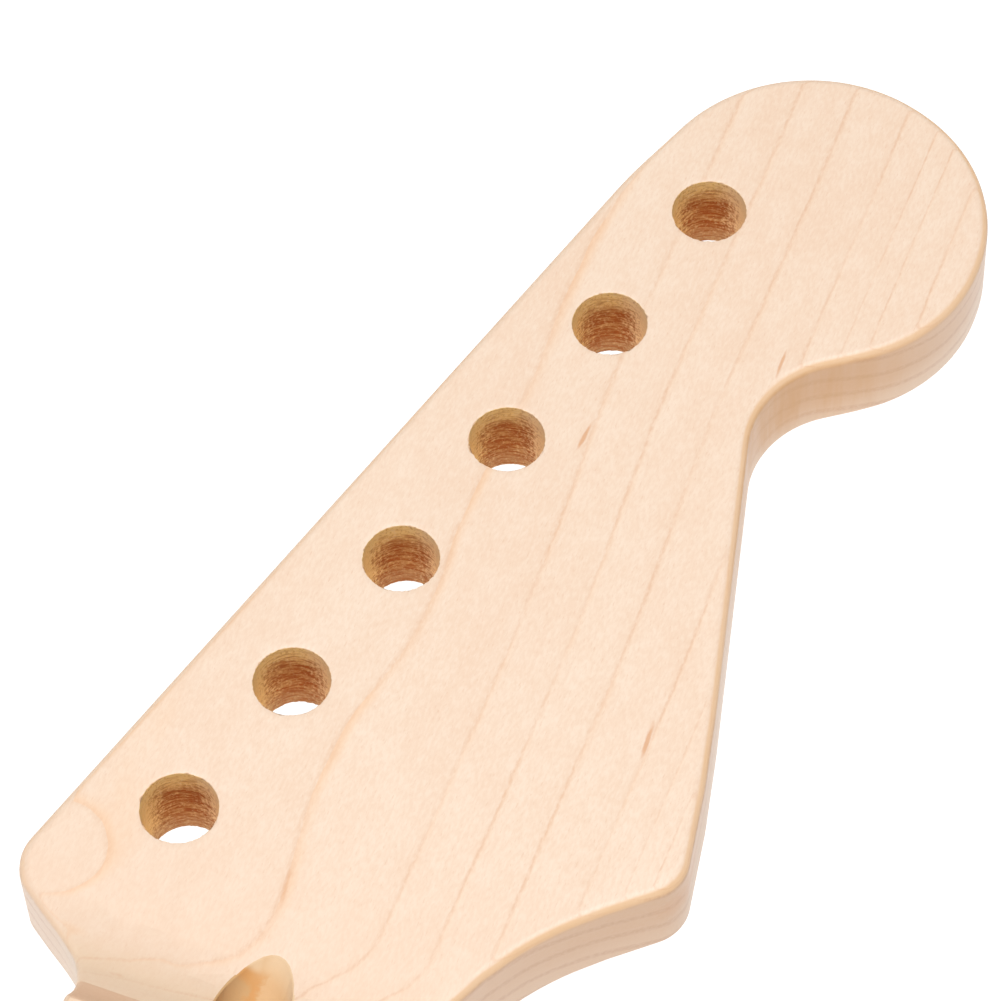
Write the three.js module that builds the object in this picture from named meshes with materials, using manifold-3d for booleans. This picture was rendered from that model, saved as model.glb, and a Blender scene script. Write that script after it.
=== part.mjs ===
// A bolt-on electric guitar neck in maple, with a six-in-line headstock.
// Lengths are in millimetres. The origin is the centre of the flat seat on the heel's back,
// +X runs along the neck to the headstock tip, +Y is the bass side and +Z is the playing side.
// The back of the heel and the back of the headstock both lie in the plane z = 0.
import * as THREE from 'three';
import { mergeVertices } from 'three/addons/utils/BufferGeometryUtils.js';
import Module from 'manifold-3d';

const wasm = await Module();
wasm.setup();

// Lengths along the neck
const scaleLength = 647.7;
const fretCount = 22;
const boardPastLastFret = 8.3;
const boardOverhang = 10.7;
const heelSeatLength = 76.2;
const shelfLength = 4.4;

// Widths and thicknesses
const nutWidth = 42.4;
const heelWidth = 56;
const blankThickness = 19.05;
const boardThickness = 6.35;
const boardRadius = 305;
const headstockThickness = 14.6;

// The shaft's back: depth is measured from the top of the board
const firstFretDepth = 21;
const twelfthFretDepth = 22.6;
const shaftSideFlat = 1.2;
const shaftBackFlat = 3;
const heelRiseLength = 30;
const heelBlendLength = 46;
const headRiseLength = 27;
const headRisePastNut = 2;
const headBlendLength = 34;
const headBlendBeforeNut = 16;

// Edge rounding
const headEdgeRadius = 1.5;
const heelEdgeRadius = 0.8;
const heelCornerRadius = 6.35;
const boardEdgeRadius = 0.8;
const boardCornerRadius = 3;
const rampRadius = 20;

// Six tuner holes on a line beside the straight bass edge
const tunerCount = 6;
const tunerPitch = 24.6;
const tunerHoleDiameter = 10.8;
const tunerInset = 13.8;
const firstTunerFromNut = 40;

// The headstock's plan: its length from the nut to the tip follows from the row of tuners
const headstockPastTuners = 25.5;
const headstockLength = firstTunerFromNut + (tunerCount - 1) * tunerPitch + headstockPastTuners;
const headstockWidth = 90.2;
const bassFlareRadius = 15.7;
const bassCornerRadius = 7.1;
const shoulderRadius = 74;
const tipRadius = 27;
const scrollRadius = 24.5;
const throatRadius = 15;
const hollowRadius = 275;
const hornRadius = 7;
const trebleFlareRadius = 49.5;
const headstockCornerShares = {
  bassCorner: [0.1299, 0.4429],
  shoulder: [0.8566, 0.0217],
  tipBass: [0.9637, -0.064],
  tipEnd: [1.0127, -0.2704],
  tipTreble: [0.9563, -0.5712],
  scroll: [0.7922, -0.5706],
  throat: [0.7037, -0.3106],
  hollow: [0.361, -0.4907],
  horn: [0.2787, -0.517],
};
const bassFlareShare = 0.0605;
const trebleFlareShare = 0.1593;

// The nut
const nutThickness = 3.4;
const nutSeatDepth = 3.2;
const nutRise = 1.9;
const nutBackDrop = 0.9;
const nutTopShares = [[1, 2], [0.75, 1], [0.25, 0], [0, 0.25]];
const nutEndInset = 0.1;
const nutEndRadius = 1;
const stringSpread = 35.2;
const stringSlotDepth = 1.2;
const stringSlotClearance = 0.1;
const stringGauges = [1.17, 0.91, 0.66, 0.43, 0.33, 0.25];

// Frets
const fretCrownWidth = 2.6;
const fretCrownHeight = 1.15;
const fretTangWidth = 0.5;
const fretTangDepth = 1.5;
const fretEndInset = 0.15;
const fretEndBevelShare = 0.6;
const fretSlotWidth = 0.62;
const fretSlotSpare = 0.25;
const fretSeatGap = 0.05;

// Position dots, each by how many frets it lies from the nut
const dotFretCounts = [3, 5, 7, 9, 12, 15, 17, 19, 21];
const doubleDotFretCount = 12;
const faceDotDiameter = 6.35;
const faceDotDepth = 1.8;
const doubleDotSpread = 21;
const sideDotDiameter = 2;
const sideDotDepth = 2.4;
const sideDotBelowEdge = 2.9;
const doubleSideDotSpread = 6;
const inlayGap = 0.05;

// The two-way truss rod under the board
const channelWidth = 6.4;
const channelFloorGap = 0.2;
const channelEndGap = 2;
const barThickness = 3;
const barWidth = 6;
const barTopGap = 0.1;
const rodDiameter = 5;
const rodBarGap = 0.4;
const rodBoreGap = 0.3;
const rodPastBlock = 2;
const rodHeelMargin = 28;
const blockLength = 12;
const blockChamfer = 0.6;
const blockBelowRod = 1.1;
const adjusterDiameter = 8;
const adjusterLength = 13;
const adjusterUnderNut = 1;
const adjusterEndGap = 0.8;
const adjusterChamfer = 0.6;
const adjusterRodSocket = 4;
const keySize = 4;
const keyDepth = 6;

// The key's access trough, cut with a round-nosed cutter down the ramp
const troughRadius = 4.85;
const troughAngle = THREE.MathUtils.degToRad(25);
const troughFromNut = 24;

// How finely curves are cut into flats
const arcStep = THREE.MathUtils.degToRad(8);
const edgeSteps = 4;
const backSteps = 8;
const rampSteps = 5;
const boardArcSteps = 6;
const hexagonSides = 6;
const holeSteps = 32;
const smallRoundSteps = 16;
const stationSpacing = 5;
const stationGap = 0.9;
const pointGap = 0.02;
const overrun = 2;
const semitonesPerOctave = 12;

// Places that follow from the sizes above
const boardTop = blankThickness + boardThickness;
const heelEndX = -heelSeatLength / 2;
const heelSeatEndX = heelSeatLength / 2;
const lastFretFromNut = scaleLength * (1 - 2 ** (-fretCount / semitonesPerOctave));
const boardEndX = heelEndX - boardOverhang;
const nutX = boardEndX + boardPastLastFret + lastFretFromNut;
const nutFrontX = nutX + nutThickness;
const shelfEndX = nutFrontX + shelfLength;
const rampDrop = boardTop - headstockThickness;
const rampEndX = shelfEndX + Math.sqrt(rampRadius ** 2 - (rampRadius - rampDrop) ** 2);
const rampCentreZ = headstockThickness + rampRadius;
const glueAngle = Math.acos((rampCentreZ - blankThickness) / rampRadius);
const shelfAngle = Math.acos((rampCentreZ - boardTop) / rampRadius);
const barTopZ = blankThickness - barTopGap;
const rodZ = barTopZ - barThickness - rodBarGap - rodDiameter / 2;
const blockBottomZ = rodZ - rodDiameter / 2 - blockBelowRod;
const channelFloorZ = blockBottomZ - channelFloorGap;
const adjusterFrontX = nutFrontX - adjusterUnderNut;
const adjusterBackX = adjusterFrontX - adjusterLength;
const troughBackX = adjusterBackX - adjusterEndGap;
const headBlockFrontX = troughBackX;
const headBlockBackX = headBlockFrontX - blockLength;
const rodEndX = heelEndX + rodHeelMargin;
const heelBlockBackX = rodEndX + rodPastBlock;
const heelBlockFrontX = heelBlockBackX + blockLength;

const maple = new THREE.MeshStandardMaterial({ name: 'maple', color: 0xf3d9b4, roughness: 0.42 });
const boardMaple = new THREE.MeshStandardMaterial({ name: 'board_maple', color: 0xefd2a6, roughness: 0.4 });
const bone = new THREE.MeshStandardMaterial({ name: 'bone', color: 0xefe9d8, roughness: 0.35 });
const dotPlastic = new THREE.MeshStandardMaterial({ name: 'dot_plastic', color: 0x151515, roughness: 0.4 });
const fretWire = new THREE.MeshStandardMaterial({
  name: 'fret_wire', color: 0xc9c9c4, roughness: 0.25, metalness: 1,
});
const rodSteel = new THREE.MeshStandardMaterial({
  name: 'rod_steel', color: 0x8d8f92, roughness: 0.4, metalness: 1,
});

const group = new THREE.Group();

// Solids and meshes

function toSolid(geometry) {
  const bare = geometry.clone();
  bare.deleteAttribute('normal');
  bare.deleteAttribute('uv');
  const merged = mergeVertices(bare);
  const corners = merged.index.array;
  const kept = [];
  for (let i = 0; i < corners.length; i += 3) {
    const [a, b, c] = [corners[i], corners[i + 1], corners[i + 2]];
    if (a !== b && b !== c && c !== a) kept.push(a, b, c);
  }
  return new wasm.Manifold(new wasm.Mesh({
    numProp: 3,
    vertProperties: merged.attributes.position.array,
    triVerts: new Uint32Array(kept),
  }));
}

function addPiece(name, solid, material) {
  const { vertProperties, triVerts } = solid.getMesh();
  const geometry = new THREE.BufferGeometry();
  geometry.setAttribute('position', new THREE.BufferAttribute(vertProperties, 3));
  geometry.setIndex(new THREE.BufferAttribute(triVerts, 1));
  geometry.computeVertexNormals();
  const mesh = new THREE.Mesh(geometry, material);
  mesh.name = name;
  group.add(mesh);
}

// The normal of a ring of points; its largest part says which plane to flatten the ring on
function ringNormal(ring) {
  const normal = new THREE.Vector3();
  ring.forEach((point, i) => {
    normal.add(new THREE.Vector3().crossVectors(point, ring[(i + 1) % ring.length]));
  });
  return normal;
}

// A cap of triangles round the middle of a ring, for rings whose middle sees every point
function fanCap(ring) {
  const middle = ring.reduce((sum, point) => sum.add(point), new THREE.Vector3()).divideScalar(ring.length);
  return ring.map((point, i) => [middle, point, ring[(i + 1) % ring.length]]);
}

// A cap for any ring that doesn't cross itself
function earCap(ring) {
  const normal = ringNormal(ring);
  const [x, y, z] = normal.toArray().map(Math.abs);
  let flatten = (p) => new THREE.Vector2(p.x, p.y);
  if (x > y && x > z) flatten = (p) => new THREE.Vector2(p.y, p.z);
  else if (y > z) flatten = (p) => new THREE.Vector2(p.x, p.z);
  return THREE.ShapeUtils.triangulateShape(ring.map(flatten), []).map((triangle) => {
    const corners = triangle.map((i) => ring[i]);
    if (ringNormal(corners).dot(normal) < 0) corners.reverse();
    return corners;
  });
}

// A closed skin through rings that all have the same number of points, with a cap at each end
function loft(rings, cap = earCap) {
  const triangles = [];
  for (let k = 1; k < rings.length; k++) {
    const near = rings[k - 1];
    const far = rings[k];
    near.forEach((point, i) => {
      const next = (i + 1) % near.length;
      triangles.push([point, near[next], far[next]], [point, far[next], far[i]]);
    });
  }
  cap(rings[0]).forEach((corners) => triangles.push([corners[2], corners[1], corners[0]]));
  cap(rings[rings.length - 1]).forEach((corners) => triangles.push(corners));
  const geometry = new THREE.BufferGeometry();
  const points = triangles.flat();
  const volume = triangles.reduce((sum, [a, b, c]) => sum + a.dot(b.clone().cross(c)), 0);
  if (volume < 0) points.reverse();
  geometry.setFromPoints(points);
  return toSolid(geometry);
}

function box(low, high) {
  const size = high.clone().sub(low);
  const middle = low.clone().add(high).divideScalar(2);
  return toSolid(new THREE.BoxGeometry(size.x, size.y, size.z).translate(middle.x, middle.y, middle.z));
}

function cylinderAlongX(radius, startX, endX, z, steps) {
  const geometry = new THREE.CylinderGeometry(radius, radius, endX - startX, steps);
  geometry.rotateZ(-Math.PI / 2);
  return toSolid(geometry.translate((startX + endX) / 2, 0, z));
}

// Curves shared by several pieces

function evenly(start, end, steps) {
  return Array.from({ length: steps + 1 }, (_, i) => start + (end - start) * i / steps);
}

function ease(value) {
  return THREE.MathUtils.smoothstep(value, 0, 1);
}

function neckHalfWidth(x) {
  const taper = (heelWidth - nutWidth) / 2 / (nutX - heelEndX);
  return nutWidth / 2 + taper * (nutX - x);
}

function fretX(number) {
  return nutX - scaleLength * (1 - 2 ** (-number / semitonesPerOctave));
}

function betweenFretsX(number) {
  return (fretX(number) + fretX(number - 1)) / 2;
}

// Height of the radiused surface that lies a given rise above the top of the board
function crownZ(y, rise = 0) {
  const radius = boardRadius + rise;
  return boardTop + rise - (radius - Math.sqrt(radius ** 2 - y ** 2));
}

// A closed outline from corners [x, y, radius]; a radius shrinks where its sides are too short
function roundedOutline(corners) {
  const points = corners.map(([x, y]) => new THREE.Vector2(x, y));
  const count = corners.length;
  const turns = points.map((point, i) => {
    const arriving = point.clone().sub(points[(i + count - 1) % count]);
    const leaving = points[(i + 1) % count].clone().sub(point);
    return Math.atan2(arriving.cross(leaving), arriving.dot(leaving));
  });
  const tangents = corners.map((corner, i) => corner[2] * Math.abs(Math.tan(turns[i] / 2)));
  const sides = points.map((point, i) => point.distanceTo(points[(i + 1) % count]));
  const outline = [];
  points.forEach((point, i) => {
    const before = (i + count - 1) % count;
    const after = (i + 1) % count;
    const fit = Math.min(
      1,
      sides[before] / (tangents[before] + tangents[i]),
      sides[i] / (tangents[i] + tangents[after]),
    );
    const start = point.clone().add(points[before].clone().sub(point).setLength(tangents[i] * fit));
    const across = point.clone().sub(start).rotateAround(new THREE.Vector2(), Math.PI / 2).normalize();
    const centre = start.clone().addScaledVector(across, corners[i][2] * fit * Math.sign(turns[i]));
    const steps = Math.max(2, Math.ceil(Math.abs(turns[i]) / arcStep));
    for (let step = 0; step <= steps; step++) {
      outline.push(start.clone().rotateAround(centre, turns[i] * step / steps));
    }
  });
  return outline.filter((point, i) => point.distanceTo(outline[(i + 1) % outline.length]) > pointGap);
}

// The same outline moved inward by a distance, point for point
function insetOutline(outline, distance) {
  const count = outline.length;
  return outline.map((point, i) => {
    const arriving = point.clone().sub(outline[(i + count - 1) % count]).normalize();
    const leaving = outline[(i + 1) % count].clone().sub(point).normalize();
    const along = arriving.clone().add(leaving).normalize();
    const reach = distance / along.dot(arriving);
    return new THREE.Vector2(point.x - along.y * reach, point.y + along.x * reach);
  });
}

// Where an outline meets a line across the neck, on the bass side (1) or the treble side (-1)
function outlineY(outline, x, side) {
  let widest = 0;
  outline.forEach((a, i) => {
    const b = outline[(i + 1) % outline.length];
    if (Math.min(a.x, b.x) > x || Math.max(a.x, b.x) < x || a.x === b.x) return;
    const y = a.y + (b.y - a.y) * (x - a.x) / (b.x - a.x);
    if (y * side > widest) widest = y * side;
  });
  return widest * side;
}

// A corner of the headstock's plan, before it is rounded
function headstockCorner(name) {
  const [along, across] = headstockCornerShares[name];
  return new THREE.Vector2(nutFrontX + along * headstockLength, across * headstockWidth);
}

// The plan of the neck seen from above, anticlockwise, from a square end near the heel to the tip
function neckPlan(endX, endRadius) {
  const corner = (name, radius) => [...headstockCorner(name).toArray(), radius];
  const bassFlareX = nutFrontX + bassFlareShare * headstockLength;
  const trebleFlareX = nutFrontX + trebleFlareShare * headstockLength;
  return roundedOutline([
    [endX, -neckHalfWidth(endX), endRadius],
    [trebleFlareX, -neckHalfWidth(trebleFlareX), trebleFlareRadius],
    corner('horn', hornRadius),
    corner('hollow', hollowRadius),
    corner('throat', throatRadius),
    corner('scroll', scrollRadius),
    corner('tipTreble', tipRadius),
    corner('tipEnd', tipRadius),
    corner('tipBass', tipRadius),
    corner('shoulder', shoulderRadius),
    corner('bassCorner', bassCornerRadius),
    [bassFlareX, neckHalfWidth(bassFlareX), bassFlareRadius],
    [endX, neckHalfWidth(endX), endRadius],
  ]);
}

const plan = neckPlan(heelEndX, heelCornerRadius);
const boardPlan = neckPlan(boardEndX, boardCornerRadius);

// The playing side, shared by the blank and the board: the board's crown, then the ramp

function rampZ(x) {
  if (x <= shelfEndX) return boardTop;
  if (x >= rampEndX) return headstockThickness;
  return rampCentreZ - Math.sqrt(rampRadius ** 2 - (rampEndX - x) ** 2);
}

function topEdgeRadius(x) {
  const blend = ease((x - nutFrontX) / (rampEndX - nutFrontX));
  return THREE.MathUtils.lerp(boardEdgeRadius, headEdgeRadius, blend);
}

// One side's rounded edge, from the side of the neck up to the playing side
function topEdge(outline, x, side) {
  const radius = topEdgeRadius(x);
  return evenly(0, Math.PI / 2, edgeSteps).map((angle) => {
    const y = outlineY(insetOutline(outline, radius * (1 - Math.cos(angle))), x, side);
    const surface = Math.min(crownZ(y), rampZ(x));
    return new THREE.Vector3(x, y, surface - radius * (1 - Math.sin(angle)));
  });
}

function topSection(outline, x) {
  const bass = topEdge(outline, x, 1);
  const treble = topEdge(outline, x, -1);
  const across = evenly(bass[edgeSteps].y, treble[edgeSteps].y, boardArcSteps).slice(1, -1);
  const crown = across.map((y) => new THREE.Vector3(x, y, Math.min(crownZ(y), rampZ(x))));
  return [...bass, ...crown, ...treble.reverse()];
}

// The centres of the tuner holes, on a line parallel to the straight bass edge
function tunerCentres() {
  const start = headstockCorner('bassCorner');
  const along = headstockCorner('shoulder').sub(start).normalize();
  const inward = new THREE.Vector2(along.y, -along.x);
  const line = start.clone().add(inward.multiplyScalar(tunerInset));
  const firstReach = (nutFrontX + firstTunerFromNut - line.x) / along.x;
  return Array.from({ length: tunerCount }, (_, i) =>
    line.clone().add(along.clone().multiplyScalar(firstReach + i * tunerPitch)));
}

const tuners = tunerCentres();

// The neck blank: heel, shaft, ramp and headstock in one piece of maple

function shaftBackZ(x) {
  const [firstX, twelfthX] = [fretX(1), fretX(semitonesPerOctave)];
  const share = (firstX - x) / (firstX - twelfthX);
  return boardTop - THREE.MathUtils.lerp(firstFretDepth, twelfthFretDepth, share);
}

function backZ(x) {
  const heelRise = ease((x - heelSeatEndX) / heelRiseLength);
  const headFall = ease((x - nutFrontX - headRisePastNut) / headRiseLength);
  return shaftBackZ(x) * heelRise * (1 - headFall);
}

// 0 where the section is a slab with eased edges, 1 where it is the round back of the shaft
function roundness(x) {
  const heelBlend = ease((x - heelSeatEndX) / heelBlendLength);
  const headBlend = ease((x - nutFrontX + headBlendBeforeNut) / headBlendLength);
  return heelBlend * (1 - headBlend);
}

function backEdgeRadius(x) {
  return THREE.MathUtils.lerp(heelEdgeRadius, headEdgeRadius, ease((x - nutX) / (rampEndX - nutX)));
}

// One side of the back, from the side of the neck round to the middle
function backSide(x, side) {
  const round = roundness(x);
  const edge = backEdgeRadius(x);
  const halfWidth = Math.abs(outlineY(plan, x, side));
  const top = Math.min(blankThickness, rampZ(x));
  const height = THREE.MathUtils.lerp(edge, top - backZ(x) - shaftSideFlat, round);
  const draw = round * (halfWidth - shaftBackFlat / 2 - edge);
  return evenly(0, Math.PI / 2, backSteps).map((angle) => {
    const inset = insetOutline(plan, edge * (1 - Math.cos(angle)));
    const y = outlineY(inset, x, side) - side * draw * (1 - Math.cos(angle));
    return new THREE.Vector3(x, y, backZ(x) + height * (1 - Math.sin(angle)));
  });
}

function neckSection(x) {
  return [...topSection(plan, x), ...backSide(x, -1), ...backSide(x, 1).reverse()];
}

// The loft ends between two tuner holes, where both edges of the plan are straight
const headstockSplitX = (tuners[2].x + tuners[3].x) / 2;

// Everything on one side of the glue plane, for sawing the board and the blank apart
function glueCutter(lowZ, highZ) {
  return box(
    new THREE.Vector3(boardEndX - overrun, -headstockWidth, lowZ),
    new THREE.Vector3(headstockSplitX + overrun, headstockWidth, highZ),
  );
}

// Places of the sections: first those that must be met, then others that aren't too close to them
function stationsAt(needed, wanted) {
  const stations = [...needed];
  wanted.forEach((x) => {
    if (stations.every((taken) => Math.abs(taken - x) > stationGap)) stations.push(x);
  });
  return stations.sort((a, b) => a - b);
}

function rampStations() {
  const angles = [...evenly(0, glueAngle, rampSteps), ...evenly(glueAngle, shelfAngle, rampSteps).slice(1)];
  return angles.map((angle) => rampEndX - rampRadius * Math.sin(angle));
}

function neckStations() {
  const blendStartX = nutFrontX - headBlendBeforeNut;
  const needed = [heelEndX, heelSeatEndX, blendStartX, nutFrontX, headstockSplitX, ...rampStations()];
  const heelBlendEndX = heelSeatEndX + heelBlendLength;
  return stationsAt(needed, [
    ...plan.map((point) => point.x).filter((x) => x < headstockSplitX),
    ...evenly(heelSeatEndX, heelBlendEndX, Math.ceil(heelBlendLength / stationSpacing)),
    ...evenly(blendStartX, headstockSplitX, Math.ceil((headstockSplitX - blendStartX) / stationSpacing)),
  ]);
}

// One level of the headstock beyond the split, with its edge moved inward
function headstockLevel(z, distance) {
  const inset = insetOutline(plan, distance);
  const beyond = inset.filter((_, i) => plan[i].x > headstockSplitX);
  const trebleY = outlineY(inset, headstockSplitX, -1);
  const bassY = outlineY(inset, headstockSplitX, 1);
  return [
    new THREE.Vector3(headstockSplitX, trebleY, z),
    ...beyond.map((point) => new THREE.Vector3(point.x, point.y, z)),
    new THREE.Vector3(headstockSplitX, bassY, z),
  ];
}

function headstockPlate() {
  const levels = [];
  for (let step = backSteps; step >= 0; step--) {
    const angle = Math.PI / 2 * step / backSteps;
    const z = headEdgeRadius * (1 - Math.sin(angle));
    levels.push(headstockLevel(z, headEdgeRadius * (1 - Math.cos(angle))));
  }
  for (let step = edgeSteps; step >= 0; step--) {
    const angle = Math.PI / 2 * step / edgeSteps;
    const z = headstockThickness - headEdgeRadius * (1 - Math.cos(angle));
    levels.push(headstockLevel(z, headEdgeRadius * (1 - Math.sin(angle))));
  }
  return loft(levels);
}

function tunerHole(centre) {
  const geometry = new THREE.CylinderGeometry(
    tunerHoleDiameter / 2, tunerHoleDiameter / 2, headstockThickness + overrun * 2, holeSteps,
  );
  geometry.rotateX(Math.PI / 2).translate(centre.x, centre.y, headstockThickness / 2);
  return toSolid(geometry);
}

// A groove with round ends, as a router cuts it, for the rod, its bar and its blocks
function rodChannel() {
  const endRadius = channelWidth / 2;
  const startX = rodEndX - channelEndGap + endRadius;
  const shape = new THREE.Shape();
  shape.moveTo(troughBackX + overrun, -endRadius);
  shape.lineTo(troughBackX + overrun, endRadius);
  shape.lineTo(startX, endRadius);
  shape.absarc(startX, 0, endRadius, Math.PI / 2, Math.PI * 3 / 2, false);
  const depth = blankThickness - channelFloorZ + overrun;
  const geometry = new THREE.ExtrudeGeometry(shape, {
    depth, bevelEnabled: false, curveSegments: smallRoundSteps / 2,
  });
  return toSolid(geometry.translate(0, 0, channelFloorZ));
}

// A U-shaped cutter: level round the adjuster, then climbing until it leaves the headstock's face
function troughRing(x, axisZ, drop) {
  const ring = [];
  for (let step = 0; step <= smallRoundSteps; step++) {
    const angle = Math.PI * step / smallRoundSteps;
    const z = axisZ - drop * Math.sin(angle);
    ring.push(new THREE.Vector3(x, -troughRadius * Math.cos(angle), z));
  }
  const top = boardTop + troughRadius + overrun;
  return [...ring, new THREE.Vector3(x, troughRadius, top), new THREE.Vector3(x, -troughRadius, top)];
}

function accessTrough(startX) {
  const slope = Math.tan(troughAngle);
  const slantDrop = troughRadius / Math.cos(troughAngle);
  const mouthX = nutFrontX + troughFromNut;
  const mouthZ = headstockThickness + slantDrop;
  const bendX = mouthX - (mouthZ - rodZ) / slope;
  const beyondX = mouthX + overrun;
  return loft([
    troughRing(startX, rodZ, troughRadius),
    troughRing(bendX, rodZ, slantDrop),
    troughRing(beyondX, mouthZ + overrun * slope, slantDrop),
  ]);
}

function neckBlank() {
  const shaft = loft(neckStations().map(neckSection), fanCap);
  let blank = shaft.subtract(glueCutter(blankThickness, boardTop + overrun)).add(headstockPlate());
  tuners.forEach((centre) => {
    blank = blank.subtract(tunerHole(centre));
  });
  blank = blank.subtract(rodChannel()).subtract(accessTrough(troughBackX));
  addPiece('neck_blank', blank, maple);
}

// The fingerboard

// The board's section reaches below the glue plane, so that the ramp can run out of it
function boardSection(x) {
  const top = topSection(boardPlan, x);
  const bottomZ = blankThickness - rampDrop;
  return [
    ...top,
    new THREE.Vector3(x, top[top.length - 1].y, bottomZ),
    new THREE.Vector3(x, top[0].y, bottomZ),
  ];
}

function boardStations() {
  const needed = [boardEndX, heelSeatEndX, nutX, nutFrontX, rampEndX, ...rampStations()];
  return stationsAt(needed, [
    ...boardPlan.map((point) => point.x).filter((x) => x < rampEndX),
    ...evenly(heelSeatEndX, nutX, rampSteps),
  ]);
}

function fretSlot(x) {
  const halfWidth = neckHalfWidth(x) + overrun;
  const edgeZ = crownZ(neckHalfWidth(x));
  const floor = edgeZ - fretTangDepth - fretSlotSpare;
  return box(
    new THREE.Vector3(x - fretSlotWidth / 2, -halfWidth, floor),
    new THREE.Vector3(x + fretSlotWidth / 2, halfWidth, boardTop + overrun),
  );
}

const nutSeatZ = boardTop - nutSeatDepth;

function nutSeat() {
  const halfWidth = neckHalfWidth(nutX) + overrun;
  return box(
    new THREE.Vector3(nutX, -halfWidth, nutSeatZ),
    new THREE.Vector3(nutFrontX, halfWidth, boardTop + overrun),
  );
}

// Centres of the face dots as [name, x, y]
function faceDots() {
  return dotFretCounts.flatMap((number) => {
    const name = `inlay_dot_${String(number).padStart(2, '0')}`;
    const x = betweenFretsX(number);
    if (number !== doubleDotFretCount) return [[name, x, 0]];
    return [[`${name}_bass`, x, doubleDotSpread / 2], [`${name}_treble`, x, -doubleDotSpread / 2]];
  });
}

// A disc let into the radiused surface, square to it; the pocket is the same disc grown by a gap
function faceDot([, x, y], grow, rise) {
  const depth = faceDotDepth + grow + rise;
  const radius = faceDotDiameter / 2 + grow;
  const geometry = new THREE.CylinderGeometry(radius, radius, depth, smallRoundSteps);
  geometry.rotateX(Math.PI / 2).translate(0, 0, boardRadius + rise - depth / 2);
  geometry.rotateX(-Math.asin(y / boardRadius)).translate(x, 0, boardTop - boardRadius);
  return toSolid(geometry);
}

function sideDots() {
  return dotFretCounts.flatMap((number) => {
    const name = `side_dot_${String(number).padStart(2, '0')}`;
    const x = betweenFretsX(number);
    if (number !== doubleDotFretCount) return [[name, x]];
    const apart = doubleSideDotSpread / 2;
    return [[`${name}_heel_side`, x - apart], [`${name}_nut_side`, x + apart]];
  });
}

function sideDot([, x], grow, rise) {
  const length = sideDotDepth + grow + rise;
  const radius = sideDotDiameter / 2 + grow;
  const outerY = neckHalfWidth(x) - inlayGap + rise;
  const geometry = new THREE.CylinderGeometry(radius, radius, length, smallRoundSteps / 2);
  const z = crownZ(neckHalfWidth(x)) - sideDotBelowEdge;
  return toSolid(geometry.translate(x, outerY - length / 2, z));
}

function fingerboard() {
  let board = loft(boardStations().map(boardSection), fanCap);
  board = board.subtract(glueCutter(blankThickness - rampDrop - overrun, blankThickness));
  for (let number = 1; number <= fretCount; number++) {
    board = board.subtract(fretSlot(fretX(number)));
  }
  board = board.subtract(nutSeat()).subtract(accessTrough(nutFrontX));
  faceDots().forEach((dot) => {
    board = board.subtract(faceDot(dot, inlayGap, overrun));
  });
  sideDots().forEach((dot) => {
    board = board.subtract(sideDot(dot, inlayGap, overrun));
  });
  addPiece('fingerboard', board, boardMaple);
}

function inlays() {
  faceDots().forEach((dot) => addPiece(dot[0], faceDot(dot, 0, 0), dotPlastic));
  sideDots().forEach((dot) => addPiece(dot[0], sideDot(dot, 0, 0), dotPlastic));
}

// The nut: its top falls towards the headstock and its ends are rounded

function nutRing(y, drop) {
  const top = crownZ(y, nutRise) - drop;
  return [
    new THREE.Vector3(nutX, y, nutSeatZ),
    new THREE.Vector3(nutFrontX, y, nutSeatZ),
    ...nutTopShares.map(([along, down]) =>
      new THREE.Vector3(nutX + nutThickness * along, y, top - nutBackDrop * down)),
  ];
}

// A ring near one end of the nut, where its top is rounded; step 0 is the very end
function nutEndRing(side, step) {
  const angle = Math.PI / 2 * step / edgeSteps;
  const halfWidth = neckHalfWidth(nutFrontX) - nutEndInset;
  const y = side * (halfWidth - nutEndRadius * (1 - Math.cos(angle)));
  return nutRing(y, nutEndRadius * (1 - Math.sin(angle)));
}

function stringSlot(index) {
  const width = stringGauges[index] + stringSlotClearance;
  const y = stringSpread / 2 - stringSpread * index / (stringGauges.length - 1);
  const bottom = crownZ(y, nutRise) - stringSlotDepth;
  const shape = new THREE.Shape();
  shape.moveTo(bottom + width / 2, y + width / 2);
  shape.absarc(bottom + width / 2, y, width / 2, Math.PI / 2, Math.PI * 3 / 2, false);
  shape.lineTo(boardTop + nutRise + overrun, y - width / 2);
  shape.lineTo(boardTop + nutRise + overrun, y + width / 2);
  const depth = nutThickness + overrun * 2;
  const options = { depth, bevelEnabled: false, curveSegments: edgeSteps };
  const geometry = new THREE.ExtrudeGeometry(shape, options);
  geometry.rotateY(-Math.PI / 2).translate(nutFrontX + overrun, 0, 0);
  return toSolid(geometry);
}

function nut() {
  const steps = evenly(0, edgeSteps, edgeSteps);
  const flat = neckHalfWidth(nutFrontX) - nutEndInset - nutEndRadius;
  let solid = loft([
    ...steps.map((step) => nutEndRing(-1, step)),
    ...evenly(-flat, flat, boardArcSteps).slice(1, -1).map((y) => nutRing(y, 0)),
    ...steps.reverse().map((step) => nutEndRing(1, step)),
  ]);
  stringGauges.forEach((_, index) => {
    solid = solid.subtract(stringSlot(index));
  });
  addPiece('nut', solid, bone);
}

// A fret: a crown on a tang, bent to the board's radius, with bevelled ends

function fretProfile() {
  const crown = evenly(0, Math.PI, edgeSteps + 1).map((angle) => [
    fretCrownWidth / 2 * Math.cos(angle),
    fretSeatGap + fretCrownHeight * Math.sin(angle),
  ]);
  const half = fretTangWidth / 2;
  return [
    ...crown,
    [-half, fretSeatGap],
    [-half, -fretTangDepth],
    [half, -fretTangDepth],
    [half, fretSeatGap],
  ];
}

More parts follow.
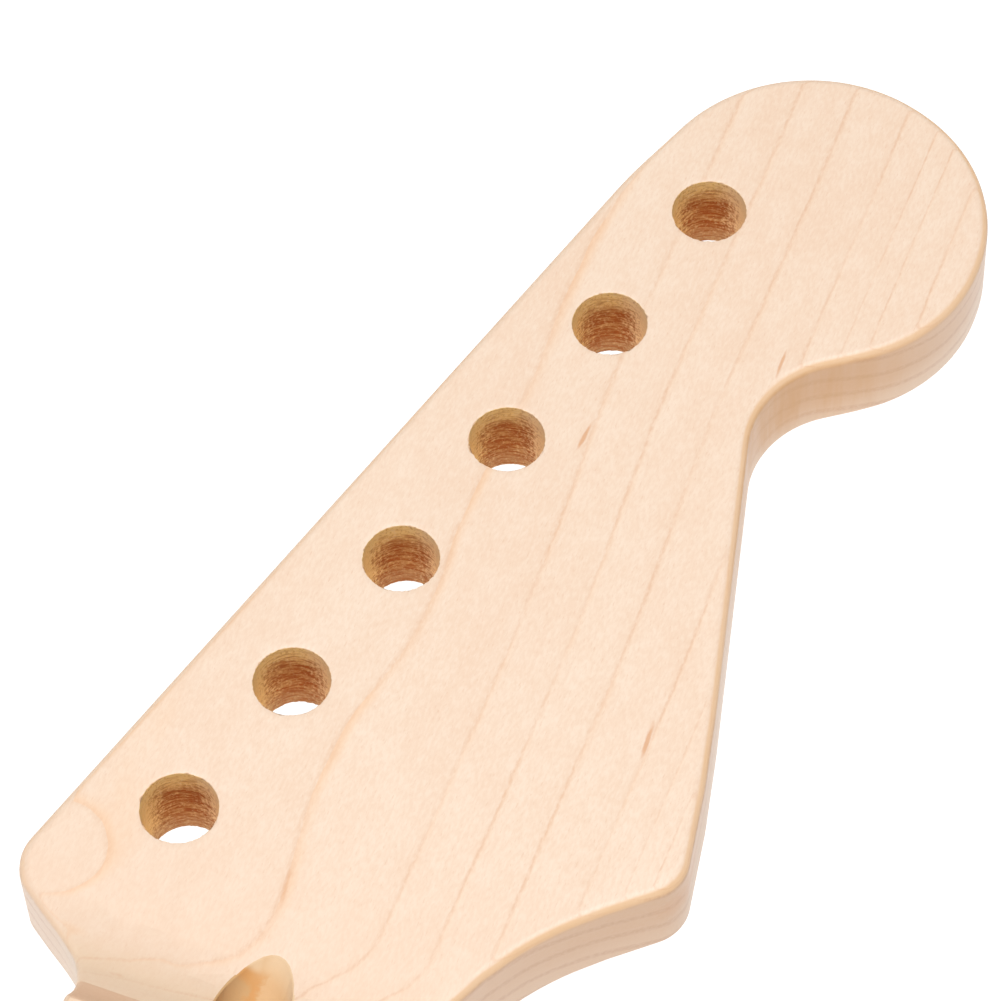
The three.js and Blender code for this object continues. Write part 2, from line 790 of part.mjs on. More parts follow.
function fret(number) {
  const x = fretX(number);
  const halfLength = neckHalfWidth(x) - fretEndInset;
  const seated = neckHalfWidth(x) - boardEdgeRadius;
  const places = evenly(-seated, seated, boardArcSteps);
  places[0] = -halfLength;
  places[places.length - 1] = halfLength;
  const rings = places.map((y, i) => fretProfile().map(([along, rise]) => {
    const atEnd = i === 0 || i === places.length - 1;
    const bevel = atEnd ? Math.max(0, rise - fretSeatGap) * fretEndBevelShare : 0;
    return new THREE.Vector3(x + along, y - Math.sign(y) * bevel, crownZ(y) + rise);
  }));
  addPiece(`fret_${String(number).padStart(2, '0')}`, loft(rings), fretWire);
}

// The truss rod: a screw under a flat bar, held in a block at each end

function chamferedBlock(startX, endX) {
  const half = barWidth / 2;
  const shape = new THREE.Shape();
  shape.moveTo(-half, barTopZ - barThickness);
  shape.lineTo(-half, blockBottomZ + blockChamfer);
  shape.lineTo(-half + blockChamfer, blockBottomZ);
  shape.lineTo(half - blockChamfer, blockBottomZ);
  shape.lineTo(half, blockBottomZ + blockChamfer);
  shape.lineTo(half, barTopZ - barThickness);
  const geometry = new THREE.ExtrudeGeometry(shape, { depth: endX - startX, bevelEnabled: false });
  geometry.rotateX(Math.PI / 2).rotateZ(Math.PI / 2).translate(startX, 0, 0);
  const bore = cylinderAlongX(
    rodDiameter / 2 + rodBoreGap, startX - overrun, endX + overrun, rodZ, smallRoundSteps,
  );
  return toSolid(geometry).subtract(bore);
}

function trussBar() {
  const half = barWidth / 2;
  addPiece('truss_bar', box(
    new THREE.Vector3(heelBlockBackX, -half, barTopZ - barThickness),
    new THREE.Vector3(headBlockFrontX, half, barTopZ),
  ), rodSteel);
}

function trussRod() {
  const endX = adjusterBackX + adjusterRodSocket;
  addPiece('truss_rod', cylinderAlongX(rodDiameter / 2, rodEndX, endX, rodZ, smallRoundSteps), rodSteel);
}

// The adjuster is turned about its own axis, then bored for the rod and broached for the key
function trussAdjuster() {
  const radius = adjusterDiameter / 2;
  const profile = [
    new THREE.Vector2(0, adjusterBackX),
    new THREE.Vector2(radius - adjusterChamfer, adjusterBackX),
    new THREE.Vector2(radius, adjusterBackX + adjusterChamfer),
    new THREE.Vector2(radius, adjusterFrontX - adjusterChamfer),
    new THREE.Vector2(radius - adjusterChamfer, adjusterFrontX),
    new THREE.Vector2(0, adjusterFrontX),
  ];
  const turned = new THREE.LatheGeometry(profile, smallRoundSteps * 2);
  const barrel = toSolid(turned.rotateZ(-Math.PI / 2).translate(0, 0, rodZ));
  const boreRadius = rodDiameter / 2 + rodBoreGap;
  const boreEndX = adjusterBackX + adjusterRodSocket;
  const bore = cylinderAlongX(boreRadius, adjusterBackX - overrun, boreEndX, rodZ, smallRoundSteps);
  const acrossCorners = keySize / Math.cos(Math.PI / hexagonSides);
  const socket = cylinderAlongX(
    acrossCorners / 2, adjusterFrontX - keyDepth, adjusterFrontX + overrun, rodZ, hexagonSides,
  );
  addPiece('truss_adjuster', barrel.subtract(bore).subtract(socket), rodSteel);
}

function trussBlocks() {
  addPiece('truss_block_head', chamferedBlock(headBlockBackX, headBlockFrontX), rodSteel);
  addPiece('truss_block_heel', chamferedBlock(heelBlockBackX, heelBlockFrontX), rodSteel);
}

neckBlank();
fingerboard();
nut();
for (let number = 1; number <= fretCount; number++) {
  fret(number);
}
inlays();
trussAdjuster();
trussRod();
trussBar();
trussBlocks();

export default group;
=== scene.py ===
# %% [markdown]
# # A maple guitar neck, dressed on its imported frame
# The neck comes out of CAD as fifty solids in one frame, in metres: X runs to the headstock's tip,
# Y to the bass side and Z to the playing side. Nothing here moves or resizes them. Blender's share
# is what the eye reads as wood, bone and metal: softened edges, round fret crowns and finishes.

# %% Load the frame
import math

import bmesh
import bpy
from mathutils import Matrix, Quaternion, Vector, noise


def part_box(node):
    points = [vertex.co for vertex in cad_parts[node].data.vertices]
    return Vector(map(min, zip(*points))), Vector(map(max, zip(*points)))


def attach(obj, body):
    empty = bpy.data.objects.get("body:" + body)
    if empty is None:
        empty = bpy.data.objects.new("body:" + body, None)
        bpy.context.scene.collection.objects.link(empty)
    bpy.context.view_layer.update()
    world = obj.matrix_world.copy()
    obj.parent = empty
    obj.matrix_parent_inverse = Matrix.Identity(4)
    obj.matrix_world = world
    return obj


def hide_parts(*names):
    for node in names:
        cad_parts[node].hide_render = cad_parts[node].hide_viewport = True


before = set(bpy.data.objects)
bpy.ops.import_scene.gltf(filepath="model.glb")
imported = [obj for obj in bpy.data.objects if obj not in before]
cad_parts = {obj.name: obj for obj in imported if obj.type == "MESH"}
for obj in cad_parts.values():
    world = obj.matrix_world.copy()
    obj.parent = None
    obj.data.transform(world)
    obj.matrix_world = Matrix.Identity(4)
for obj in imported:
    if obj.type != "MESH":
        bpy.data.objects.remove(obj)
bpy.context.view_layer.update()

MM = 0.001

# %% [markdown]
# ## The camera
# The picture is taken from above the shaft, looking towards the tip, through a long lens. Place,
# direction, roll and focal length were solved from the rims of the six tuner holes, so the render
# and the picture can be laid over each other. The lens has no shift and no blur.

# %% Camera
camera_place = Vector((196.523, -150.911, 573.372)) * MM
camera_direction = Vector((0.499411, 0.224062, -0.83689))
camera_roll = math.radians(-3.3236)
camera_lens = 171.236
camera_sensor = 36.0

camera = bpy.data.objects.new("camera", bpy.data.cameras.new("camera"))
bpy.context.collection.objects.link(camera)
camera.location = camera_place
camera.rotation_mode = "QUATERNION"
upright = camera_direction.to_track_quat("-Z", "Y")
camera.rotation_quaternion = upright @ Quaternion((0, 0, 1), camera_roll)
camera.data.lens = camera_lens
camera.data.sensor_width = camera_sensor
camera.data.clip_start = 0.05
camera.data.clip_end = 50
bpy.context.scene.camera = camera
print("camera", [round(value, 3) for value in camera.location], "lens", camera_lens)

# %% [markdown]
# ## Small tools for modelling and for materials
# Operators act on whatever is selected, so every step starts by letting go of everything. A piece
# of the frame is never edited: its mesh is copied, the copy's loose triangles are welded, and the
# original is hidden behind it. Materials are node trees, and short helpers keep them readable: one
# adds a node with its settings and inputs, others do a sum, a soft step or one more layer of tone.

# %% Modelling helpers
weld_distance = 0.002 * MM


def only(piece):
    """Makes one piece the selected and active one, in object mode."""
    bpy.ops.object.select_all(action="DESELECT")
    piece.select_set(True)
    bpy.context.view_layer.objects.active = piece


def open_mesh(piece):
    """Opens one piece in edit mode, with all of it selected."""
    only(piece)
    bpy.ops.object.mode_set(mode="EDIT")
    bpy.ops.mesh.select_all(action="SELECT")


def close_mesh():
    """Goes back to object mode."""
    bpy.ops.object.mode_set(mode="OBJECT")


def new_piece(name, mesh):
    """A piece of its own with the given mesh."""
    piece = bpy.data.objects.new(name, mesh)
    bpy.context.collection.objects.link(piece)
    return piece


def welded_copy(node, name):
    """A copy of a CAD node's mesh with its loose triangles joined."""
    piece = new_piece(name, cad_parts[node].data.copy())
    open_mesh(piece)
    bpy.ops.mesh.remove_doubles(threshold=weld_distance)
    close_mesh()
    return piece


def pick(kind, wanted):
    """In edit mode, selects the vertices, edges or faces for which wanted(element) is true."""
    mesh = bpy.context.active_object.data
    bpy.ops.mesh.select_all(action="DESELECT")
    bpy.ops.mesh.select_mode(type={"verts": "VERT", "edges": "EDGE", "faces": "FACE"}[kind])
    edit = bmesh.from_edit_mesh(mesh)
    for element in getattr(edit, kind):
        if wanted(element):
            element.select_set(True)
    edit.select_flush_mode()
    bmesh.update_edit_mesh(mesh)


def soften(piece, width, segments, angle, slide=True):
    """A small round along every edge sharper than the angle, applied."""
    only(piece)
    bevel = piece.modifiers.new("soft_edges", "BEVEL")
    bevel.width = width
    bevel.segments = segments
    bevel.limit_method = "ANGLE"
    bevel.angle_limit = math.radians(angle)
    bevel.harden_normals = False
    bevel.loop_slide = slide
    bpy.ops.object.modifier_apply(modifier=bevel.name)


def smooth(piece, angle, keep_flats=True):
    """Smooth shading up to an angle. Wide flat faces keep their own direction of light."""
    only(piece)
    bpy.ops.object.shade_smooth_by_angle(angle=math.radians(angle))
    if keep_flats:
        flats = piece.modifiers.new("keep_flats", "WEIGHTED_NORMAL")
        flats.keep_sharp = True
        bpy.ops.object.modifier_apply(modifier=flats.name)


def finish_piece(piece, body, slot, material, *nodes):
    """Says what a piece rides on, which nodes it stands for and what it is made of."""
    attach(piece, body)
    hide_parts(*nodes)
    piece.data.materials.clear()
    piece.data.materials.append(material)


# %% Material helpers
def fill(tree, node, inputs):
    """Sets each of a node's inputs to a value, or links it to a socket."""
    for key, value in inputs.items():
        if isinstance(value, bpy.types.NodeSocket):
            tree.links.new(value, node.inputs[key])
        else:
            node.inputs[key].default_value = value


def add(tree, kind, inputs=None, **settings):
    """A node with its settings and its inputs."""
    node = tree.nodes.new("ShaderNode" + kind)
    for key, value in settings.items():
        setattr(node, key, value)
    fill(tree, node, inputs or {})
    return node


def calc(tree, operation, *values, clamp=False):
    """A Math node, as a sum that can be read from left to right."""
    inputs = dict(enumerate(values))
    return add(tree, "Math", inputs, operation=operation, use_clamp=clamp).outputs[0]


def times(tree, first, *others):
    """The product of all values."""
    for other in others:
        first = calc(tree, "MULTIPLY", first, other)
    return first


def plus(tree, first, *others):
    """The sum of all values."""
    for other in others:
        first = calc(tree, "ADD", first, other)
    return first


def apart_from(tree, value, clamp=False):
    """What is left of one when the value is taken off."""
    return calc(tree, "SUBTRACT", 1.0, value, clamp=clamp)


def vector(tree, operation, *values):
    """A Vector Math node. Lengths, distances and dot products come out as a number."""
    output = "Value" if operation in ("LENGTH", "DISTANCE", "DOT_PRODUCT") else "Vector"
    return add(tree, "VectorMath", dict(enumerate(values)), operation=operation).outputs[output]


def parts(tree, value):
    """The X, Y and Z of a vector."""
    return add(tree, "SeparateXYZ", {0: value}).outputs


def step(tree, value, low, high, to_low=0.0, to_high=1.0):
    """A soft step from one value to another as the input goes from low to high."""
    inputs = {"Value": value, 1: low, 2: high, 3: to_low, 4: to_high}
    return add(tree, "MapRange", inputs, interpolation_type="SMOOTHSTEP").outputs["Result"]


def zone(tree, value, low, high, to_low=0.0, to_high=1.0):
    """A soft step between two places, given in millimetres."""
    return step(tree, value, low * MM, high * MM, to_low, to_high)


def layer(tree, under, over, *shares):
    """A colour with another laid over it, as strongly as the product of the shares says."""
    inputs = {0: times(tree, *shares), 6: under, 7: over}
    return add(tree, "Mix", inputs, data_type="RGBA", clamp_factor=True).outputs[2]


def layers(tree, colour, laid):
    """Lays tones over a colour, one after another, each with its shares."""
    for tone, *shares in laid:
        colour = layer(tree, colour, tone, *shares)
    return colour


def speckle(tree, place, stretch, detail=2.0, roughness=0.5):
    """Noise whose grains are as many per metre along each axis as stretch says."""
    scaled = vector(tree, "MULTIPLY", place, stretch)
    inputs = {"Vector": scaled, "Scale": 1.0, "Detail": detail, "Roughness": roughness}
    return add(tree, "TexNoise", inputs).outputs["Fac"]


def new_group(name, inputs, outputs):
    """A shader node group: its tree, what it is given, and the node that takes its results."""
    group = bpy.data.node_groups.new(name, "ShaderNodeTree")
    for label, kind, value in inputs:
        socket = group.interface.new_socket(label, in_out="INPUT", socket_type="NodeSocket" + kind)
        socket.default_value = value
    for label, kind in outputs:
        group.interface.new_socket(label, in_out="OUTPUT", socket_type="NodeSocket" + kind)
    return group, group.nodes.new("NodeGroupInput").outputs, group.nodes.new("NodeGroupOutput")


def use(tree, group, inputs):
    """Places a group in a material with this material's own values."""
    return add(tree, "Group", inputs, node_tree=group).outputs


def new_material(name):
    """An empty Principled material: its tree, its shader and the piece's own coordinates."""
    material = bpy.data.materials.new(name)
    material.use_nodes = True
    tree = material.node_tree
    tree.nodes.clear()
    shader = add(tree, "BsdfPrincipled")
    result = add(tree, "OutputMaterial")
    tree.links.new(shader.outputs[0], result.inputs["Surface"])
    place = add(tree, "TexCoord").outputs
    return material, tree, shader, place


def bump(tree, shader, height, distance):
    """Feeds the shader's normal from a height in metres times distance."""
    inputs = {"Height": height, "Distance": distance, "Strength": 1.0}
    tree.links.new(add(tree, "Bump", inputs).outputs[0], shader.inputs["Normal"])


print("helpers ready")

# %% [markdown]
# ## The studio
# The neck lies on a white light table: a plain floor that glows, so that the background, the light
# that comes up through the tuner holes and the pale line on the low edges are all the same white.
# A large soft lamp hangs above the shaft and lights the face evenly. The table lights the sides from
# below, and a faint cool world fills the rest. The standard view transform keeps white at white.

# %% Floor, lamp and world
floor_size = 30.0
floor_glow = 1.0
floor_tone = (0.15, 0.15, 0.15, 1)
world_tone = (0.97, 0.985, 1.0, 1)
world_strength = 0.22
key_place = Vector((0.31, -0.04, 1.35))
key_target = Vector((0.5, 0, 0))
key_size = 1.7
key_power = 22.5

bpy.ops.object.select_all(action="DESELECT")
bpy.ops.mesh.primitive_plane_add(size=floor_size, location=(0, 0, 0))
floor = bpy.context.active_object
floor.name = "floor"
floor_material, tree, shader, place = new_material("light_table")
fill(tree, shader, {"Base Color": floor_tone, "Roughness": 0.9, "Emission Color": (1, 1, 1, 1),
                    "Emission Strength": floor_glow})
floor.data.materials.append(floor_material)

world = bpy.data.worlds.new("studio")
world.use_nodes = True
fill(world.node_tree, world.node_tree.nodes["Background"],
     {"Color": world_tone, "Strength": world_strength})
bpy.context.scene.world = world

key = bpy.data.objects.new("key_lamp", bpy.data.lights.new("key_lamp", "AREA"))
bpy.context.collection.objects.link(key)
key.data.shape = "DISK"
key.data.size = key_size
key.data.energy = key_power
key.location = key_place
key.rotation_euler = (key_target - key_place).to_track_quat("-Z", "Y").to_euler()
bpy.context.scene.view_settings.view_transform = "Standard"
print("floor", floor_size, "m, key lamp", key_power, "W")

# %% [markdown]
# ## How maple is coloured
# A board is sawn out of a trunk, so its figure is the trunk's yearly rings cut by the board's
# surfaces. The rings are modelled as what they are: shells round a far axis that runs along the
# neck. Every face, the curved ramp and the round back then cut the same rings, and the lines meet
# at the edges as they do in wood. The face cuts them at a shallow angle, so thin rings give lines
# that lie a hand's breadth apart. The years differ, so a curve says where each ring lies.

# %% Growth rings
ring_axis = Vector((0, 30.0, -285.4)) * MM
ring_radius = 300.0 * MM
ring_depths = (-0.10, 1.19, 2.67, 3.79, 5.08, 6.72, 7.78, 8.52, 9.75)
ring_usual = 1.28

growth_rings, given, wanted = new_group(
    "growth_rings",
    [("Place", "Vector", (0, 0, 0)), ("Axis", "Vector", ring_axis), ("Radius", "Float", ring_radius),
     ("Wander", "Float", 0.0), ("Line depth", "Float", 0.05 * MM)],
    [("Line", "Float"), ("Season", "Float"), ("Year", "Float")],
)


def ring_phase(tree, depth):
    """Counts the years: whole numbers where a ring lies, from the depths of the rings."""
    first, last = ring_depths[0], ring_depths[-1]
    years = len(ring_depths) - 1
    from_first = calc(tree, "SUBTRACT", depth, first)
    share = calc(tree, "DIVIDE", from_first, last - first, clamp=True)
    curve = add(tree, "FloatCurve", {"Factor": 1.0, "Value": share})
    points = curve.mapping.curves[0].points
    for year, at in enumerate(ring_depths[1:-1], start=1):
        points.new((at - first) / (last - first), year / years)
    for point in points:
        point.handle_type = "VECTOR"
    curve.mapping.update()
    below = calc(tree, "MINIMUM", from_first, 0.0)
    above = calc(tree, "MAXIMUM", calc(tree, "SUBTRACT", depth, last), 0.0)
    beyond = calc(tree, "DIVIDE", plus(tree, below, above), ring_usual)
    return plus(tree, times(tree, curve.outputs[0], years), beyond)


tree = growth_rings
across = vector(tree, "MULTIPLY", vector(tree, "SUBTRACT", given["Place"], given["Axis"]), (0, 1, 1))
ring_depth = calc(tree, "SUBTRACT", vector(tree, "LENGTH", across), given["Radius"])
phase = ring_phase(tree, calc(tree, "DIVIDE", plus(tree, ring_depth, given["Wander"]), MM))
part_of_year = calc(tree, "FRACT", phase)
to_line = calc(tree, "MINIMUM", part_of_year, apart_from(tree, part_of_year))
line_share = calc(tree, "DIVIDE", given["Line depth"], ring_usual * MM)
fill(tree, wanted, {
    "Line": step(tree, to_line, 0.0, line_share, 1.0, 0.0),
    "Season": part_of_year,
    "Year": calc(tree, "FLOOR", plus(tree, phase, 0.5)),
})
print("growth rings at", ring_depths, "mm")

# %% [markdown]
# Trees don't grow straight, so a line wanders. The first line on the face swings to and fro beside
# the tuner holes, and the ones further out drift a little towards the bass side. Where the face
# turns up into the ramp the rings bend once more, most on the treble side. A small eye sits in the
# corner by the nut, where the outermost ring is just touched.

# %% How the rings wander along the neck
wander_reach = 0.4
first_line_course = ((440, 0.0), (455, -0.04), (484, 0.17), (510, -0.14), (525, -0.03), (550, -0.12),
                     (575, -0.05), (590, -0.16), (620, -0.1))
ramp_course = ((434, 0.0), (440, 0.04), (443.5, 0.08), (446, 0.19), (449, 0.26), (452, 0.17),
               (455, 0.06), (459, 0.0), (464, 0.0))
ramp_drop = 0.85
treble_turn = 3.0
outer_drift = 0.18
slow_waves = 0.14
quick_waves = 0.06
eye_place = Vector((456.4, 36.7, 0)) * MM
eye_reach = 11.7 * MM
eye_depth = -0.9


def course(tree, along, points):
    """A smooth curve through (x, value) points, both in millimetres."""
    start, end = points[0][0], points[-1][0]
    share = calc(tree, "DIVIDE", calc(tree, "SUBTRACT", along, start * MM), (end - start) * MM, clamp=True)
    curve = add(tree, "FloatCurve", {"Value": share})
    marks = curve.mapping.curves[0].points
    marks[0].location = (0, 0.5 + points[0][1] / wander_reach / 2)
    marks[-1].location = (1, 0.5 + points[-1][1] / wander_reach / 2)
    for x, value in points[1:-1]:
        marks.new((x - start) / (end - start), 0.5 + value / wander_reach / 2)
    curve.mapping.update()
    return times(tree, calc(tree, "SUBTRACT", curve.outputs[0], 0.5), wander_reach * 2)


def waves(tree, place, stretch, detail, height):
    """Noise about zero, as high as said."""
    return times(tree, calc(tree, "SUBTRACT", speckle(tree, place, stretch, detail), 0.5), height)


def ring_wander(tree, place):
    """How far the rings are out of place, in metres, at each point of the neck blank."""
    x, y = parts(tree, place)[:2]
    near_first = times(tree, zone(tree, y, -8, 1), zone(tree, y, 24, 12))
    inner = times(tree, course(tree, x, first_line_course), near_first)
    outer = times(tree, zone(tree, x, 505, 560, -outer_drift, outer_drift), zone(tree, y, 1, -8))
    flat_place = vector(tree, "MULTIPLY", place, (1, 1, 0))
    eye = step(tree, vector(tree, "DISTANCE", flat_place, eye_place), 0.0, eye_reach, eye_depth, 0.0)
    at_ramp = times(tree, course(tree, x, ramp_course), zone(tree, y, 0, -9, 1.0, treble_turn))
    bass_drop = times(tree, zone(tree, y, 15, 27, 0.0, -ramp_drop), zone(tree, x, 450, 446))
    slow = waves(tree, place, (24, 60, 60), 1.0, slow_waves)
    quick = waves(tree, place, (160, 260, 260), 2.0, quick_waves)
    return times(tree, plus(tree, inner, outer, eye, at_ramp, bass_drop, slow, quick), MM)


print("first line swings at", [x for x, swing in first_line_course], "mm")

# %% [markdown]
# Under the lines, maple is a felt of fine fibres with tiny vessels between them. Both run along the
# grain, so their noise is stretched that way. On end grain the fibres are cut across, and the same
# noise gives dots instead of dashes, as it should.

# %% Fibres and vessels
wood_fibres, given, wanted = new_group(
    "wood_fibres",
    [("Place", "Vector", (0, 0, 0))],
    [("Fibre", "Float"), ("Vessel", "Float"), ("Cloud", "Float")],
)
tree = wood_fibres
fill(tree, wanted, {
    "Fibre": speckle(tree, given["Place"], (900, 2200, 2200), 3.0, 0.6),
    "Vessel": step(tree, speckle(tree, given["Place"], (900, 5200, 5200), 1.0), 0.66, 0.74),
    "Cloud": speckle(tree, given["Place"], (16, 60, 60), 2.0),
})
print("fibres and vessels take", len(tree.nodes), "nodes")

# %% Mineral streaks
mineral_streak, given, wanted = new_group(
    "mineral_streak",
    [("Place", "Vector", (0, 0, 0)), ("Centre", "Vector", (0, 0, 0)),
     ("Reach", "Vector", (1, 1, 1)), ("Slant", "Float", 0.0)],
    [("Streak", "Float")],
)
tree = mineral_streak
beside = vector(tree, "SUBTRACT", given["Place"], given["Centre"])
turned = add(tree, "VectorRotate", {"Vector": beside, "Angle": given["Slant"]},
             rotation_type="Z_AXIS").outputs[0]
out = vector(tree, "LENGTH", vector(tree, "DIVIDE", turned, given["Reach"]))
ragged = speckle(tree, given["Place"], (500, 1800, 1800), 2.0)
edge = plus(tree, out, times(tree, ragged, 0.7))
fill(tree, wanted, {"Streak": step(tree, edge, 0.75, 1.4, 1.0, 0.0)})
print("groups", [group.name for group in bpy.data.node_groups])

# %% [markdown]
# ## The blank's finish
# The blank is sanded maple under a thin satin seal. Its cut walls differ: where the drill met end
# grain it left it scorched, with fine rings from the tool, and the scoop's routed wall is torn, with
# an orange-brown band. Light is painted into the colour too: shade on the headstock's sides, rounded
# edges and ramp, light from the glowing table on the low sides, light on one side of each tuner
# hole, shade that deepens down the holes and shade on the scoop's bass-side wall. Which faces are
# cut walls is kept in attributes on the mesh, written when the pieces are modelled.

# %% Maple of the blank
maple_face = (0.915, 0.712, 0.550, 1)
maple_late = (0.82, 0.575, 0.405, 1)
maple_warm = (0.885, 0.640, 0.47, 1)
maple_pale = (0.95, 0.775, 0.625, 1)
maple_line = (0.76, 0.45, 0.27, 1)
maple_glow = (0.92, 0.56, 0.31, 1)
side_line_tone = (0.56, 0.29, 0.16, 1)
maple_side_shade = (0.73, 0.465, 0.29, 1)
maple_table_lit = (0.84, 0.61, 0.44, 1)
maple_horn = (0.66, 0.38, 0.20, 1)
maple_edge_shade = (0.84, 0.54, 0.30, 1)
maple_ramp_shade = (0.80, 0.59, 0.39, 1)
maple_curl = (0.68, 0.34, 0.11, 1)
streak_tone = (0.72, 0.36, 0.17, 1)
wall_gold = (0.98, 0.70, 0.30, 1)
wall_lit = (0.97, 0.71, 0.42, 1)
wall_burn_and_shade = (0.36, 0.09, 0.006, 1)
wall_low = (0.53, 0.30, 0.14, 1)
wall_fluff = (0.95, 0.72, 0.45, 1)
burnt_way = (-0.91, -0.41, 0)
lit_way = (-0.41, 0.91, 0)
scoop_tone = (0.73, 0.46, 0.235, 1)
scoop_lit_lip = (0.82, 0.60, 0.38, 1)
scoop_shade_tone = (0.64, 0.39, 0.18, 1)
scoop_band_tone = (0.70, 0.33, 0.10, 1)
face_height = 14.6 * MM
streaks = (
    ((544.1, -8.5, 14.6), (2.9, 0.42, 2), 2.5, 0.75),
    ((500.5, -34.2, 14.6), (3.5, 0.42, 2), -4, 0.75),
    ((565.5, -30.4, 14.6), (2.9, 0.34, 2), -2, 0.7),
    ((462.7, 3.2, 14.6), (3.6, 0.45, 2), -9.5, 0.35),
    ((441.8, 18.3, 15.5), (0.6, 1.6, 2), 0, 0.35),
    ((484.1, -46.1, 9.5), (8.0, 6.0, 3.2), 0, 0.3),
    ((560.7, -29.9, 9.0), (1.0, 0.9, 0.8), 0, 0.5),
    ((532.3, -34.1, 13.5), (1.5, 0.8, 1.0), 0, 0.5),
)
curl_place = Vector((553.0, -37.0, 7.0)) * MM
curl_reach = 34 * MM
curl_core = 6 * MM
face_line_depth = 0.075 * MM
side_line_depth = 1.0 * MM
ramp_line_depth = 0.12 * MM
side_wave_height = 3.0 * MM

blank_maple, tree, shader, place = new_material("blank_maple")
spot = place["Object"]
x, y, z = parts(tree, spot)
facing = parts(tree, place["Normal"])
up = calc(tree, "ABSOLUTE", facing["Z"])
headstock = zone(tree, x, 436, 452)
side = times(tree, step(tree, up, 0.75, 0.25), headstock)
# Painted shade on the headstock's sides, strongest on the treble side
side_shade_share = times(tree, side, step(tree, facing["Y"], 0.5, 0.0, 0.3, 0.85))
ramp = zone(tree, x, 449, 442)
lengthwise = step(tree, calc(tree, "ABSOLUTE", facing["Y"]), 0.2, 0.5)
past_ramp = calc(tree, "MAXIMUM", zone(tree, x, 458, 464), lengthwise)
rounded = times(tree, step(tree, up, 0.97, 0.8), step(tree, up, 0.2, 0.5), past_ramp, headstock)
side_wander = times(tree, waves(tree, spot, (38, 38, 60), 2.0, side_wave_height), side)
rings = use(tree, growth_rings, {
    "Place": spot,
    "Wander": plus(tree, ring_wander(tree, spot), side_wander),
    "Line depth": plus(tree, face_line_depth, times(tree, side, side_line_depth),
                       times(tree, ramp, ramp_line_depth)),
})
fibres = use(tree, wood_fibres, {"Place": spot})

# The wood itself, with painted shade on the sides, the rounded edges and the ramp, and painted light from
# the table on the low sides
mottle = speckle(tree, spot, (230, 380, 380), 3.0, 0.55)
# The side shade is paler near the bottom, painted light from the glowing table, and darker along the horn
side_shade_tone = layers(tree, maple_table_lit, (
    (maple_side_shade, zone(tree, z, 2, 9)),
    (maple_horn, zone(tree, x, 515, 490, 0.0, 0.45)),
))
# Painted shade along the rounded edges, made uneven by noise and strongest on the treble side
uneven_edge_shade = step(tree, speckle(tree, spot, (90, 90, 240), 2.0), 0.35, 0.65, 0.8, 1.0)
edge_shade_share = step(tree, facing["Y"], 0.35, -0.25, 0.35, 0.9)
colour = layers(tree, maple_face, (
    (maple_late, calc(tree, "POWER", rings["Season"], 3.0), 0.2),
    (maple_warm, step(tree, fibres["Cloud"], 0.4, 0.75, 0.0, 0.35)),
    (maple_warm, step(tree, mottle, 0.42, 0.7, 0.0, 0.3)),
    (maple_pale, step(tree, mottle, 0.55, 0.3, 0.0, 0.3)),
    (maple_late, step(tree, fibres["Fibre"], 0.42, 0.68, 0.0, 0.3)),
    (maple_pale, step(tree, fibres["Fibre"], 0.5, 0.3, 0.0, 0.35)),
    (maple_line, fibres["Vessel"], 0.3),
    (side_shade_tone, side_shade_share),
    (maple_warm, zone(tree, x, 480, 446, 0.0, 0.35)),
    # painted shade: the ramp is darker
    (maple_ramp_shade, ramp, 0.5),
    (maple_edge_shade, rounded, uneven_edge_shade, edge_shade_share),
))

# Lines, streaks and curl; the curl carries painted shade in the throat and painted light near the table
first_line = zone(tree, y, -6, 0)
off_side = apart_from(tree, side)
line_fade = step(tree, speckle(tree, spot, (40, 90, 90), 2.0), 0.35, 0.65, 0.15, 0.4)
line_fade = times(tree, line_fade, step(tree, first_line, 0.0, 1.0, 1.0, 0.75), off_side,
                  zone(tree, x, 439.5, 442.5, 0.2, 1.0))
glow_fade = step(tree, speckle(tree, spot, (70, 110, 110), 2.0), 0.38, 0.62, 0.35, 1.0)
glow_fade = times(tree, glow_fade, step(tree, first_line, 0.0, 1.0, 0.14, 0.5), off_side,
                  apart_from(tree, ramp))
every_third = calc(tree, "LESS_THAN", calc(tree, "FRACT", calc(tree, "DIVIDE", rings["Year"], 3)), 0.2)
broken = times(tree, rings["Line"], step(tree, fibres["Fibre"], 0.35, 0.6, 0.6, 1.3))
colour = layers(tree, colour, (
    (maple_glow, step(tree, rings["Season"], 0.12, 0.0), glow_fade),
    (maple_line, broken, line_fade),
    (side_line_tone, broken, every_third, side, 0.28),
))
for centre, reach, slant, share in streaks:
    streak = use(tree, mineral_streak, {"Place": spot, "Centre": Vector(centre) * MM,
                                        "Reach": Vector(reach) * MM, "Slant": math.radians(slant)})
    colour = layer(tree, colour, streak_tone, streak["Streak"], share)
# The curl is figure on the throat's side; its darkening of the concave throat is partly painted shade, and
# it fades near the bottom edge as painted light from the table
from_curl = vector(tree, "DISTANCE", spot, curl_place)
curl_bands = step(tree, speckle(tree, spot, (420, 420, 40), 3.0, 0.6), 0.3, 0.7, 0.5, 0.85)
colour = layer(tree, colour, maple_curl, step(tree, from_curl, curl_reach, curl_core), curl_bands,
               zone(tree, z, 0, 6, 0.35, 1.0), side)

# The drilled walls: drill burn and tool rings, painted light on the walls that face one way, painted shade
# that deepens down each hole, and a darker tone towards the bottom
drilled = add(tree, "Attribute", attribute_name="drilled").outputs["Fac"]
tool_rings = speckle(tree, spot, (360, 360, 2500), 3.0, 0.6)
pitted = speckle(tree, spot, (2300, 2300, 2300), 2.0, 0.6)
